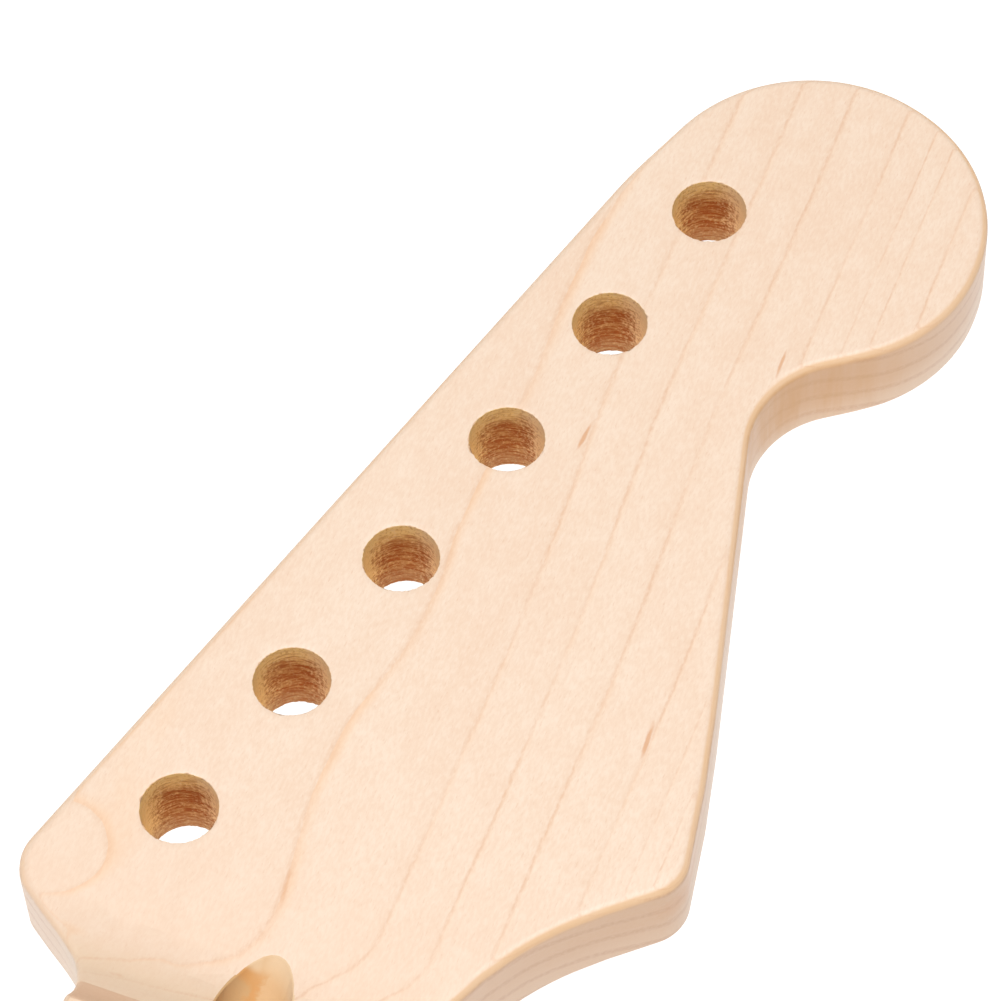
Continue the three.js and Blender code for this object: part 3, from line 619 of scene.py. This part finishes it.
# painted light: walls that face one way are paler
lit_side = vector(tree, "DOT_PRODUCT", place["Normal"], lit_way)
leaning = plus(tree, vector(tree, "DOT_PRODUCT", place["Normal"], burnt_way),
               step(tree, pitted, 0.3, 0.7, -0.14, 0.14))
# burn from the drill, with painted shade that deepens down the hole
scorch_and_shade = times(tree, step(tree, leaning, 0.47, 1.0), zone(tree, z, 13.4, 9.5),
               step(tree, tool_rings, 0.35, 0.6, 0.65, 1.0))
ring_burn = times(tree, step(tree, tool_rings, 0.46, 0.62), step(tree, leaning, 0.3, 1.0, 0.05, 0.65),
                  zone(tree, z, 14.2, 12, 0.3, 1.0))
pit_burn = times(tree, step(tree, pitted, 0.52, 0.66), step(tree, leaning, 0.3, 1.0, 0.12, 0.4))
cut_tone = layers(tree, wall_gold, (
    (wall_lit, step(tree, lit_side, 0.1, 0.8)),
    (wall_burn_and_shade, scorch_and_shade),
    (wall_low, zone(tree, z, 5, 1, 0.0, 0.7)),
    (wall_burn_and_shade, calc(tree, "MAXIMUM", ring_burn, pit_burn)),
    (wall_fluff, step(tree, pitted, 0.45, 0.32), step(tree, scorch_and_shade, 0.0, 1.0, 0.4, 0.12)),
))
colour = layer(tree, colour, cut_tone, drilled)

# The scoop: painted shade on its bass-side wall, an orange-brown band along that shade, and painted light
# on the lip and along the top of the treble wall
scooped = add(tree, "Attribute", attribute_name="scooped").outputs["Fac"]
torn = speckle(tree, spot, (420, 300, 420), 3.0, 0.6)
scoop_side = plus(tree, y, step(tree, torn, 0.35, 0.7, -MM, MM))
# painted shade on the scoop's bass-side wall
scoop_wall_shade = times(tree, zone(tree, scoop_side, 0.2, 1.4), zone(tree, x, 451, 449.4))
scoop_inner_wall = times(tree, zone(tree, scoop_side, 1.4, 3), zone(tree, x, 449, 447.6))
# painted light on the lip and along the top of the treble wall
lip = times(tree, zone(tree, y, 0.6, 2.4), zone(tree, x, 449.4, 450.6))
rim = times(tree, zone(tree, z, 12.8, 14.4), zone(tree, y, 3, 0))
scoop_finish = layers(tree, scoop_tone, (
    (scoop_shade_tone, scoop_wall_shade),
    (scoop_band_tone, scoop_wall_shade, apart_from(tree, scoop_inner_wall), 0.75),
    (scoop_lit_lip, calc(tree, "MAXIMUM", lip, rim), 0.8),
))
colour = layer(tree, colour, scoop_finish, scooped, 0.95)

# Seal and relief
walls = calc(tree, "ADD", drilled, scooped, clamp=True)
roughness = plus(tree, step(tree, fibres["Fibre"], 0.3, 0.8, 0.42, 0.52), times(tree, rounded, 0.12))
roughness = calc(tree, "ADD", roughness, times(tree, walls, 0.5), clamp=True)
sealed = apart_from(tree, calc(tree, "MAXIMUM", walls, rounded), clamp=True)
fill(tree, shader, {"Base Color": colour, "Roughness": roughness, "Specular IOR Level": 0.45,
                    "Coat Weight": times(tree, sealed, 0.3), "Coat Roughness": 0.22})
relief = plus(tree, times(tree, fibres["Fibre"], 0.35), times(tree, fibres["Vessel"], -0.3),
              times(tree, plus(tree, tool_rings, pitted), drilled, 2.4), times(tree, torn, scooped))
bump(tree, shader, relief, 0.03 * MM)
print("blank maple has", len(tree.nodes), "nodes")

# %% [markdown]
# ## The blank
# The blank is one carved piece: heel, shaft, ramp and headstock. Its CAD shape is right, so a
# welded copy carries on from there. CAD gives the outline as short straight runs, which show on a
# silhouette this large. The runs are cut in four, and the new points are laid on smooth curves
# through the old ones, the way a sanding block takes the corners off a sawn outline.

# %% Model the neck blank: the outline
rail_cuts = 3
rails_start = 433.0 * MM
level = 0.998
straight_ratio = 2.2
sharpest_turn = 0.5
shortest_rail = 0.8 * MM
plate_start = 470 * MM
longest_curved = 9 * MM
first_tuner = Vector((468.845, 21.326)) * MM
last_tuner = Vector((587.371, -11.547)) * MM
tuner_count = 6
tuner_radius = 5.4 * MM
tuners = [first_tuner.lerp(last_tuner, number / (tuner_count - 1)) for number in range(tuner_count)]
scoop_radius = 4.85 * MM
scoop_slant = math.radians(25)
scoop_start = 427 * MM
scoop_bend = 438.05 * MM
scoop_mouth = 452.85 * MM
scoop_floor_axis = 13.05 * MM


def tuner_near(point):
    """The tuner axis nearest to a point."""
    return min(tuners, key=lambda axis: (point.xy - axis).length)


def is_rail(edge):
    """True for an edge that runs along the rounded outline of the headstock and the ramp."""
    if len(edge.link_faces) != 2 or min(vert.co.x for vert in edge.verts) < rails_start:
        return False
    middle = (edge.verts[0].co + edge.verts[1].co) / 2
    if (middle.xy - tuner_near(middle)).length < tuner_radius + 0.5 * MM:
        return False
    if abs(middle.y) < 1.25 * scoop_radius and middle.x < scoop_mouth + 2 * MM:
        return False
    steepest = min(edge.link_faces, key=lambda face: abs(face.normal.z))
    if abs(steepest.normal.z) > level:
        return False
    tangent = steepest.normal.cross(Vector((0, 0, 1))).normalized()
    direction = (edge.verts[1].co - edge.verts[0].co).normalized()
    return abs(direction.dot(tangent)) > 0.9


def tangent_at(vert, edge, rails):
    """The direction of the outline at a vertex, leaving it along the given edge."""
    ahead = edge.other_vert(vert).co - vert.co
    onward = ahead.normalized()
    best = max((rail for rail in vert.link_edges if rail in rails and rail is not edge),
               key=lambda rail: -(rail.other_vert(vert).co - vert.co).normalized().dot(onward),
               default=None)
    if best is None:
        return onward
    behind = vert.co - best.other_vert(vert).co
    arriving = behind.normalized()
    if arriving.dot(onward) < sharpest_turn:
        return onward
    if ahead.length > straight_ratio * behind.length or ahead.length > longest_curved:
        return onward
    if behind.length > straight_ratio * ahead.length or behind.length > longest_curved:
        return arriving
    return (arriving * ahead.length + onward * behind.length).normalized()


def curve_point(start, end, leave, arrive, share):
    """A point on the smooth curve from start to end with the given directions."""
    length = (end - start).length
    a, b = share ** 2, share ** 3
    return (start * (2 * b - 3 * a + 1) + leave * length * (b - 2 * a + share)
            + end * (3 * a - 2 * b) + arrive * length * (b - a))


blank = welded_copy("neck_blank", "neck_blank_sanded")
open_mesh(blank)
pick("faces", lambda face: abs(face.normal.z) < level
     and face.calc_center_median().x > rails_start - 2 * MM)
bpy.ops.mesh.tris_convert_to_quads(face_threshold=math.radians(40), shape_threshold=math.radians(60))
pick("edges", lambda edge: is_rail(edge) and edge.calc_length() < shortest_rail
     and edge.verts[0].co.x > plate_start)
bpy.ops.mesh.merge(type="COLLAPSE")
edit = bmesh.from_edit_mesh(blank.data)
rails = {edge for edge in edit.edges if is_rail(edge)}
targets = {}
for edge in rails:
    start, end = edge.verts
    leave = tangent_at(start, edge, rails)
    arrive = -tangent_at(end, edge, rails)
    for cut_number in range(1, rail_cuts + 1):
        share = cut_number / (rail_cuts + 1)
        spot_key = tuple(round(value * 1e6) for value in start.co.lerp(end.co, share))
        targets[spot_key] = curve_point(start.co, end.co, leave, arrive, share)
pick("edges", is_rail)
bpy.ops.mesh.subdivide(number_cuts=rail_cuts)
edit = bmesh.from_edit_mesh(blank.data)
moved = []
for vert in edit.verts:
    key = tuple(round(value * 1e6) for value in vert.co)
    around = [(key[0] + i, key[1] + j, key[2] + k)
              for i in (-1, 0, 1) for j in (-1, 0, 1) for k in (-1, 0, 1)]
    found = next((targets[spot_key] for spot_key in around if spot_key in targets), None)
    if found is not None:
        moved.append((found - vert.co).length)
        vert.co = found
bmesh.update_edit_mesh(blank.data)
close_mesh()
print("rails", len(rails), "points laid", len(moved), "most", round(max(moved) / MM, 3), "mm")

# %% [markdown]
# What a shop adds is small: drilled rims that are a little rounded, and chipped where the fibres
# tore. The scoop's rim is rounded by hand with paper, so it gets the wider round, and it comes
# first. Its shortest edges are drawn together beforehand, because a bevel can't turn on them.

# %% Round the rim of the scoop
scoop_round = 0.3 * MM
shortest_rim = 0.3 * MM
fold_angle = math.radians(150)


def in_scoop(centre, normal, widest=1.02, flattest=0.97):
    """True for a point on the wall of the scoop for the truss-rod key."""
    if not scoop_start < centre.x < scoop_mouth + 0.5 * MM:
        return False
    climb = max(0.0, centre.x - scoop_bend) * math.tan(scoop_slant)
    drop = scoop_radius / math.cos(scoop_slant) if climb > 0 else scoop_radius
    below = min(0.0, centre.z - scoop_floor_axis - climb) / drop
    reach = math.hypot(centre.y / scoop_radius, below)
    return 0.93 < reach < widest and (climb == 0 or normal.z < flattest)


def on_scoop_rim(edge):
    """True for an edge between the scoop's wall and the wood outside it."""
    if len(edge.link_faces) != 2 or min(vert.co.x for vert in edge.verts) < scoop_bend:
        return False
    inside = [in_scoop(face.calc_center_median(), face.normal) for face in edge.link_faces]
    outside = [face for face, inner in zip(edge.link_faces, inside) if not inner]
    return inside[0] != inside[1] and outside[0].normal.z > 0.5


open_mesh(blank)
pick("edges", lambda edge: on_scoop_rim(edge) and edge.calc_length() < shortest_rim)
bpy.ops.mesh.merge(type="COLLAPSE")
pick("edges", on_scoop_rim)
print("scoop rim", blank.data.total_edge_sel, "edges")
bpy.ops.mesh.bevel(offset=scoop_round, segments=3, profile=0.5, affect="EDGES", clamp_overlap=True,
                   loop_slide=False)
pick("edges", lambda edge: len(edge.link_faces) == 2 and edge.calc_face_angle(0) > fold_angle
     and edge.calc_length() > 4 * scoop_round)
print("folded slivers joined to their neighbours:", blank.data.total_edge_sel)
bpy.ops.mesh.dissolve_edges(use_verts=False)
close_mesh()

# %% [markdown]
# The flat face and the flat back are next. Their long thin triangles would fold over as soon as a
# rim beside them moves, so both flats are taken out and laid anew: each tuner hole first gets a
# narrow ring of its own, drawn out from its rim, and what is left between the rings and the
# outline is filled. Then the rims are bevelled and chipped, and only the rings feel it.

# %% Lay the flats anew and chip the rims of the tuner holes
rim_cuts = 3
rim_round = 0.13 * MM
rim_ring = 1.0 * MM
chip_usual = 0.13 * MM
chip_most = 0.42 * MM
flats = ((face_height, 1), (0.0, -1))


def on_tuner_rim(edge):
    """True for an edge of a tuner hole's rim, on the face or on the back."""
    heights = [vert.co.z for vert in edge.verts]
    even = abs(heights[0] - heights[1]) < 0.01 * MM
    outer = heights[0] > face_height - 0.05 * MM or heights[0] < 0.05 * MM
    return even and outer and all(abs((vert.co.xy - tuner_near(vert.co)).length - tuner_radius)
                                   < 0.08 * MM for vert in edge.verts)


def at_height(element, height):
    """True for an edge or a face that lies wholly at a height."""
    return all(abs(vert.co.z - height) < 0.003 * MM for vert in element.verts)


def lay_flat(height, facing):
    """Takes out the flat at a height and fills it again, with a ring round each tuner hole."""
    pick("faces", lambda face: at_height(face, height) and abs(face.normal.z) > 0.99)
    bpy.ops.mesh.delete(type="FACE")
    spread = (tuner_radius + rim_ring) / tuner_radius
    for axis in tuners:
        pick("edges", lambda edge: edge.is_boundary and at_height(edge, height)
             and on_tuner_rim(edge) and tuner_near(edge.verts[0].co) == axis)
        bpy.ops.mesh.extrude_region_move()
        bpy.ops.transform.resize(value=(spread, spread, 1), center_override=(*axis, height))
    pick("edges", lambda edge: edge.is_boundary and at_height(edge, height))
    bpy.ops.mesh.fill(use_beauty=True)
    pick("faces", lambda face: at_height(face, height) and face.normal.z * facing < 0)
    bpy.ops.mesh.flip_normals()


def chip(vert):
    """How far a rim point at a tuner hole is torn outwards, or None away from the rims."""
    out = vert.co.xy - tuner_near(vert.co)
    side = next((height for height, facing in flats if abs(vert.co.z - height) < 0.9 * rim_round), None)
    if side is None or out.length > tuner_radius + 2 * rim_round:
        return None
    angle = math.atan2(out.y, out.x)
    seed = Vector((math.cos(angle) * 9, math.sin(angle) * 9, (tuner_near(vert.co).x + side) * 900))
    torn = max(0.0, noise.noise(seed * 0.6) - 0.28) / 0.72
    return chip_usual * noise.noise(seed * 1.7) + chip_most * torn


open_mesh(blank)
pick("edges", on_tuner_rim)
bpy.ops.mesh.subdivide(number_cuts=rim_cuts)
for height, facing in flats:
    lay_flat(height, facing)
pick("edges", on_tuner_rim)
bpy.ops.mesh.bevel(offset=rim_round, segments=3, profile=0.5, affect="EDGES", loop_slide=False)
close_mesh()

blank_low, blank_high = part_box("neck_blank")
for vert in blank.data.vertices:
    torn = chip(vert)
    if torn is not None:
        axis = tuner_near(vert.co)
        vert.co.xy = axis + (vert.co.xy - axis) * (1 + torn / (vert.co.xy - axis).length)
    for way in range(3):
        vert.co[way] = min(max(vert.co[way], blank_low[way]), blank_high[way])
turned_over = [face for face in blank.data.polygons if abs(face.normal.z) > 0.9 and any(
    face.normal.z * facing < 0 and abs(face.center.z - height) < 0.01 * MM for height, facing in flats)]
print("blank", len(blank.data.vertices), "vertices,", len(turned_over), "faces turned over")


# %% Mark the cut walls
def is_drilled(face):
    """True for the wall of a tuner hole."""
    at_axis = (face.center.xy - tuner_near(face.center)).length
    return at_axis < tuner_radius + 0.02 * MM and abs(face.normal.z) < 0.75


def mark(piece, name, wanted):
    """Writes an attribute that is 1 on the wanted faces and 0 elsewhere."""
    marks = piece.data.attributes.new(name, "FLOAT", "FACE")
    for face in piece.data.polygons:
        marks.data[face.index].value = 1.0 if wanted(face) else 0.0
    print(piece.name, name, int(sum(value.value for value in marks.data)), "faces")


mark(blank, "drilled", is_drilled)
mark(blank, "scooped", lambda face: in_scoop(face.center, face.normal, widest=1.07, flattest=0.985))
smooth(blank, 32)
finish_piece(blank, "neck", "maple_blank", blank_maple, "neck_blank")

# %% [markdown]
# ## The fingerboard
# The board is a second piece of maple, glued on the blank, a little warmer and with its own rings.
# Its end is the darker strip across the ramp: end grain, with painted shade on it. It is a welded
# copy of its CAD node: the crown, the taper and the fret slots are already right, and the slots'
# mouths stay crisp, as sawn. Its long triangles would catch the light unevenly, so the crown is lit
# by its true radius.

# %% Maple of the board
board_axis = Vector((0, -22.0, -154.6)) * MM
board_radius = 180.0 * MM
board_face = (0.88, 0.655, 0.475, 1)
board_late = (0.79, 0.545, 0.365, 1)
board_line = (0.66, 0.39, 0.23, 1)
board_end_grain_and_shade = (0.74, 0.46, 0.29, 1)
board_wander = 0.5 * MM

board_maple, tree, shader, place = new_material("board_maple")
spot = place["Object"]
rings = use(tree, growth_rings, {"Place": spot, "Axis": board_axis, "Radius": board_radius,
                                 "Wander": waves(tree, spot, (14, 70, 70), 2.0, board_wander)})
fibres = use(tree, wood_fibres, {"Place": spot})
lengthwise = calc(tree, "ABSOLUTE", parts(tree, place["Normal"])["X"])
scooped = add(tree, "Attribute", attribute_name="scooped").outputs["Fac"]
colour = layers(tree, board_face, (
    (board_late, rings["Season"], 0.35),
    (board_line, rings["Line"], 0.45),
    (board_late, step(tree, fibres["Fibre"], 0.35, 0.75, 0.0, 0.3)),
    (board_line, fibres["Vessel"], 0.3),
    # end faces and slot walls darker: their end grain, with painted shade on top
    (board_end_grain_and_shade, step(tree, lengthwise, 0.2, 0.8, 0.0, 0.8)),
    # painted shade on the board's faces inside the scoop
    (scoop_shade_tone, scooped, 0.85),
))
fill(tree, shader, {"Base Color": colour, "Roughness": step(tree, fibres["Fibre"], 0.3, 0.8, 0.40, 0.5),
                    "Specular IOR Level": 0.45})
bump(tree, shader, calc(tree, "SUBTRACT", fibres["Fibre"], fibres["Vessel"]), 0.01 * MM)
print("board maple has", len(tree.nodes), "nodes")

# %% Model the fingerboard
board_top = 25.4 * MM
crown_radius = 305 * MM
near_crown = 0.05 * MM
along_crown = 0.995
wide_face = 2.0 * MM * MM
turns_away = 0.1
off_face = 0.9


def true_light(piece):
    """Gives corners the crown's own normal, and a face's own where one of its corners turns away."""
    mesh = piece.data
    normals = [Vector(corner.vector) for corner in mesh.corner_normals]
    changed = 0
    for face in mesh.polygons:
        least = min(face.normal.dot(normals[index]) for index in face.loop_indices)
        turned = face.area > wide_face and least < turns_away
        for index in face.loop_indices:
            point = mesh.vertices[mesh.loops[index].vertex_index].co
            rise = Vector((0, point.y, point.z - board_top + crown_radius))
            off_crown = abs(rise.length - crown_radius)
            rise.normalize()
            if off_crown < near_crown and face.normal.dot(rise) > along_crown:
                normals[index] = rise
                changed += 1
            elif turned and face.normal.dot(normals[index]) < off_face:
                normals[index] = face.normal.copy()
                changed += 1
    mesh.normals_split_custom_set(normals)
    print(piece.name, "corner normals set", changed, "of", len(normals))


board = welded_copy("fingerboard", "fingerboard_sanded")
mark(board, "scooped", lambda face: in_scoop(face.center, face.normal))
smooth(board, 30)
true_light(board)
finish_piece(board, "neck", "maple_board", board_maple, "fingerboard")
print("board", len(board.data.polygons), "faces")

# %% [markdown]
# ## Metal, bone and plastic
# Fret wire is nickel silver, polished along the fret after levelling. The nut is bleached bone,
# filed and buffed, with a faint grain. Dots are black plastic, sanded flush, so they are dull. The
# truss rod's parts are plain steel, and the adjuster is blued and oiled.

# %% Fine scratches, shared by the metals
fine_scratches, given, wanted = new_group(
    "fine_scratches",
    [("Place", "Vector", (0, 0, 0)), ("Along", "Vector", (1, 1, 1))],
    [("Scratch", "Float"), ("Smudge", "Float")],
)
tree = fine_scratches
hair = speckle(tree, given["Place"], given["Along"], 3.0)
fill(tree, wanted, {"Scratch": step(tree, hair, 0.5, 0.75),
                    "Smudge": speckle(tree, given["Place"], (180, 180, 180), 3.0)})


def metal(name, bright, dull, smoothest, roughest, along):
    """A metal with scratches along one way and faint smudges of wear."""
    material, tree, shader, place = new_material(name)
    marks = use(tree, fine_scratches, {"Place": place["Object"], "Along": along})
    rough = step(tree, marks["Smudge"], 0.3, 0.7, smoothest, roughest)
    fill(tree, shader, {
        "Base Color": layer(tree, bright, dull, step(tree, marks["Smudge"], 0.35, 0.7)),
        "Roughness": calc(tree, "ADD", rough, times(tree, marks["Scratch"], 0.12), clamp=True),
        "Metallic": 1.0,
    })
    bump(tree, shader, marks["Scratch"], 0.006 * MM)
    return material


nickel_silver = metal("nickel_silver", (0.82, 0.80, 0.76, 1), (0.70, 0.68, 0.64, 1), 0.26, 0.4,
                      (5200, 160, 5200))
blued_steel = metal("blued_steel", (0.13, 0.13, 0.14, 1), (0.22, 0.20, 0.19, 1), 0.28, 0.45,
                    (300, 4000, 4000))
plain_steel = metal("plain_steel", (0.52, 0.51, 0.50, 1), (0.38, 0.36, 0.34, 1), 0.3, 0.5,
                    (300, 3600, 3600))
print("metals", nickel_silver.name, blued_steel.name, plain_steel.name)

# %% Bone and plastic
bone_pale = (0.86, 0.80, 0.66, 1)
bone_grain = (0.78, 0.70, 0.54, 1)
bone_pore = (0.55, 0.45, 0.30, 1)
plastic_black = (0.012, 0.011, 0.010, 1)
plastic_worn = (0.026, 0.024, 0.022, 1)

bone, tree, shader, place = new_material("bone")
grain = speckle(tree, place["Object"], (1600, 240, 1600), 3.0)
pores = step(tree, speckle(tree, place["Object"], (3600, 500, 3600), 1.0), 0.66, 0.76)
colour = layers(tree, bone_pale, ((bone_grain, step(tree, grain, 0.35, 0.7)), (bone_pore, pores, 0.3)))
fill(tree, shader, {"Base Color": colour, "Roughness": step(tree, grain, 0.3, 0.7, 0.28, 0.4),
                    "Subsurface Weight": 0.08, "Subsurface Radius": (0.001, 0.0008, 0.0005)})
bump(tree, shader, calc(tree, "SUBTRACT", grain, pores), 0.008 * MM)

black_plastic, tree, shader, place = new_material("black_plastic")
marks = use(tree, fine_scratches, {"Place": place["Object"], "Along": (400, 5200, 5200)})
fill(tree, shader, {"Base Color": layer(tree, plastic_black, plastic_worn, marks["Smudge"]),
                    "Roughness": step(tree, marks["Scratch"], 0.0, 1.0, 0.38, 0.55)})
bump(tree, shader, marks["Scratch"], 0.008 * MM)
print("finishes", bone.name, black_plastic.name)

# %% [markdown]
# ## The nut
# A slotted bar of bone. Its CAD copy carries the six string slots; buffing rounds all its edges,
# which a small bevel does here, and that round is what makes it read as bone instead of a block.

# %% Model the nut
nut_round = 0.22 * MM
nut = welded_copy("nut", "nut_buffed")
soften(nut, nut_round, 3, 35)
smooth(nut, 40)
finish_piece(nut, "neck", "nut_bone", bone, "nut")
print("nut", len(nut.data.polygons), "faces")

# %% [markdown]
# ## The frets
# Fret wire comes as a coil: a round crown on a thin tang. It is bent to the board's radius, pressed
# in, nipped off at the board's edges and filed there at a slant. The same steps work here. One
# length of wire is made from a round bar, flattened underneath, with the tang drawn out of its
# underside; it is bent row by row; and each fret is a copy of it, moved along and cut to length
# with two planes at each end, one upright and one slanted.

# %% Make one length of fret wire
wire_length = 60 * MM
wire_half_width = 1.3 * MM
wire_height = 1.15 * MM
wire_sides = 40
tang_half_width = 0.25 * MM
tang_depth = 1.5 * MM
seat_gap = 0.05 * MM
wire_rows = 24


def crown_drop(y):
    """How far the board's crown lies below its middle at a distance y from it."""
    return crown_radius - math.sqrt(crown_radius ** 2 - y ** 2)


def cut(point, direction, keep_all=False):
    """Cuts the mesh by a plane and closes it, dropping what lies on the direction's side."""
    bpy.ops.mesh.select_all(action="SELECT")
    bpy.ops.mesh.bisect(plane_co=point, plane_no=direction, clear_outer=not keep_all)
    if not keep_all:
        pick("edges", lambda edge: edge.is_boundary)
        bpy.ops.mesh.edge_face_add()


bpy.ops.object.select_all(action="DESELECT")
bpy.ops.mesh.primitive_cylinder_add(vertices=wire_sides, radius=wire_half_width, depth=wire_length,
                                    rotation=(math.radians(90), 0, 0))
wire = bpy.context.active_object
bpy.ops.object.transform_apply(rotation=True)
open_mesh(wire)
bpy.ops.transform.resize(value=(1, 1, wire_height / wire_half_width))
cut((0, 0, 0), (0, 0, -1))
for side in (-1, 1):
    cut((side * tang_half_width, 0, 0), (1, 0, 0), keep_all=True)
pick("faces", lambda face: face.normal.z < -0.9
     and abs(face.calc_center_median().x) < tang_half_width / 2)
bpy.ops.mesh.extrude_region_move(TRANSFORM_OT_translate={"value": (0, 0, -tang_depth)})
for row in range(1, wire_rows):
    cut((0, wire_length * (row / wire_rows - 0.5), 0), (0, 1, 0), keep_all=True)
for row in range(wire_rows + 1):
    y = wire_length * (row / wire_rows - 0.5)
    pick("verts", lambda vert: abs(vert.co.y - y) < 0.01 * MM)
    bpy.ops.transform.translate(value=(0, 0, board_top + seat_gap - crown_drop(y)))
close_mesh()
print("wire", len(wire.data.polygons), "faces")

# %% Cut and seat the frets
fret_count = 22
end_slant = 0.6
end_round = 0.16 * MM


def seat_fret(node):
    """One fret: a copy of the wire at the node's place, cut to the node's length."""
    low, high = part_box(node)
    half_length = high.y
    foot = board_top + seat_gap - crown_drop(half_length)
    piece = new_piece(node + "_wire", wire.data.copy())
    open_mesh(piece)
    bpy.ops.transform.translate(value=((low.x + high.x) / 2, 0, 0))
    for side in (-1, 1):
        end = (0, side * half_length, foot)
        cut(end, (0, side, 0))
        cut(end, (0, side, end_slant))
    close_mesh()
    soften(piece, end_round, 2, 30)
    smooth(piece, 35, keep_flats=False)
    finish_piece(piece, "neck", "fret_wire", nickel_silver, node)
    return piece


frets = [seat_fret(f"fret_{number:02d}") for number in range(1, fret_count + 1)]
bpy.data.objects.remove(wire)
print("frets", len(frets), "each with about", len(frets[0].data.polygons), "faces")

# %% [markdown]
# ## The dots
# Twenty dots mark the frets: ten on the face and ten small ones on the bass edge. A dot is a slice
# of rod pressed into its hole and sanded flush, so it is one disc with a hair of roundness on its
# rim, copied, and tipped to lie with the surface where that slopes.

# %% Model and set the dots
dot_sides = 56
dot_proud = 0.03 * MM
dot_round = 0.04 * MM
dot_inset = 0.35
face_dot_radius = 3.19 * MM
face_dot_depth = 1.7 * MM
side_dot_radius = 1.03 * MM
side_dot_depth = 2.2 * MM
heel_width = 56
nut_width = 42.4
heel_to_nut = 425.4 + 38.1
edge_taper = math.atan2((heel_width - nut_width) / 2, heel_to_nut)


def disc(radius, depth):
    """A slice of rod whose top is at the origin, with a softened rim."""
    bpy.ops.object.select_all(action="DESELECT")
    bpy.ops.mesh.primitive_cylinder_add(vertices=dot_sides, radius=radius, depth=depth,
                                        location=(0, 0, -depth / 2))
    piece = bpy.context.active_object
    bpy.ops.object.transform_apply(location=True)
    open_mesh(piece)
    pick("faces", lambda face: abs(face.normal.z) > 0.9)
    bpy.ops.mesh.inset(thickness=radius * dot_inset)
    close_mesh()
    soften(piece, dot_round, 2, 60)
    return piece


def set_dot(master, node, top, tilt):
    """A copy of a disc, tipped about the neck's length and moved to its hole."""
    piece = new_piece(node + "_flush", master.data.copy())
    open_mesh(piece)
    for angle, axis in tilt:
        bpy.ops.transform.rotate(value=angle, orient_axis=axis, center_override=(0, 0, 0))
    bpy.ops.transform.translate(value=top)
    close_mesh()
    smooth(piece, 40)
    finish_piece(piece, "neck", "dot_black", black_plastic, node)
    return piece


face_disc = disc(face_dot_radius, face_dot_depth)
side_disc = disc(side_dot_radius, side_dot_depth)
dots = []
for node in sorted(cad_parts):
    if not node.startswith(("inlay_dot", "side_dot")):
        continue
    low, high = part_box(node)
    middle = (low + high) / 2
    if node.startswith("inlay_dot"):
        top = (middle.x, middle.y, board_top - crown_drop(middle.y) + dot_proud)
        tilt = [(math.asin(middle.y / crown_radius), "X")]
        dots.append(set_dot(face_disc, node, top, tilt))
    else:
        top = (middle.x, high.y + dot_proud, middle.z)
        dots.append(set_dot(side_disc, node, top, [(math.radians(90), "X"), (edge_taper, "Z")]))
for master in (face_disc, side_disc):
    bpy.data.objects.remove(master)
print("dots", len(dots), "each with", len(dots[0].data.polygons), "faces")

# %% [markdown]
# ## The truss rod
# The adjuster is the only part that a player turns: a barrel with a hex socket, seen at the bottom
# of the scoop. It gets softened edges. The rod, the bar and the two blocks are closed in the blank,
# so they keep their CAD meshes and only get a steel finish.

# %% Model the adjuster and finish the rod
adjuster_round = 0.25 * MM
adjuster = welded_copy("truss_adjuster", "truss_adjuster_turned")
soften(adjuster, adjuster_round, 3, 35, slide=False)
smooth(adjuster, 35)
finish_piece(adjuster, "truss_screw", "adjuster_steel", blued_steel, "truss_adjuster")

for node in ("truss_rod", "truss_bar", "truss_block_head", "truss_block_heel"):
    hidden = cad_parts[node]
    for index in range(len(hidden.data.materials)):
        hidden.material_slots[index].link = "OBJECT"
        hidden.material_slots[index].material = plain_steel
print("adjuster", len(adjuster.data.polygons), "faces")

# %% Update the view layer
bpy.context.view_layer.update()
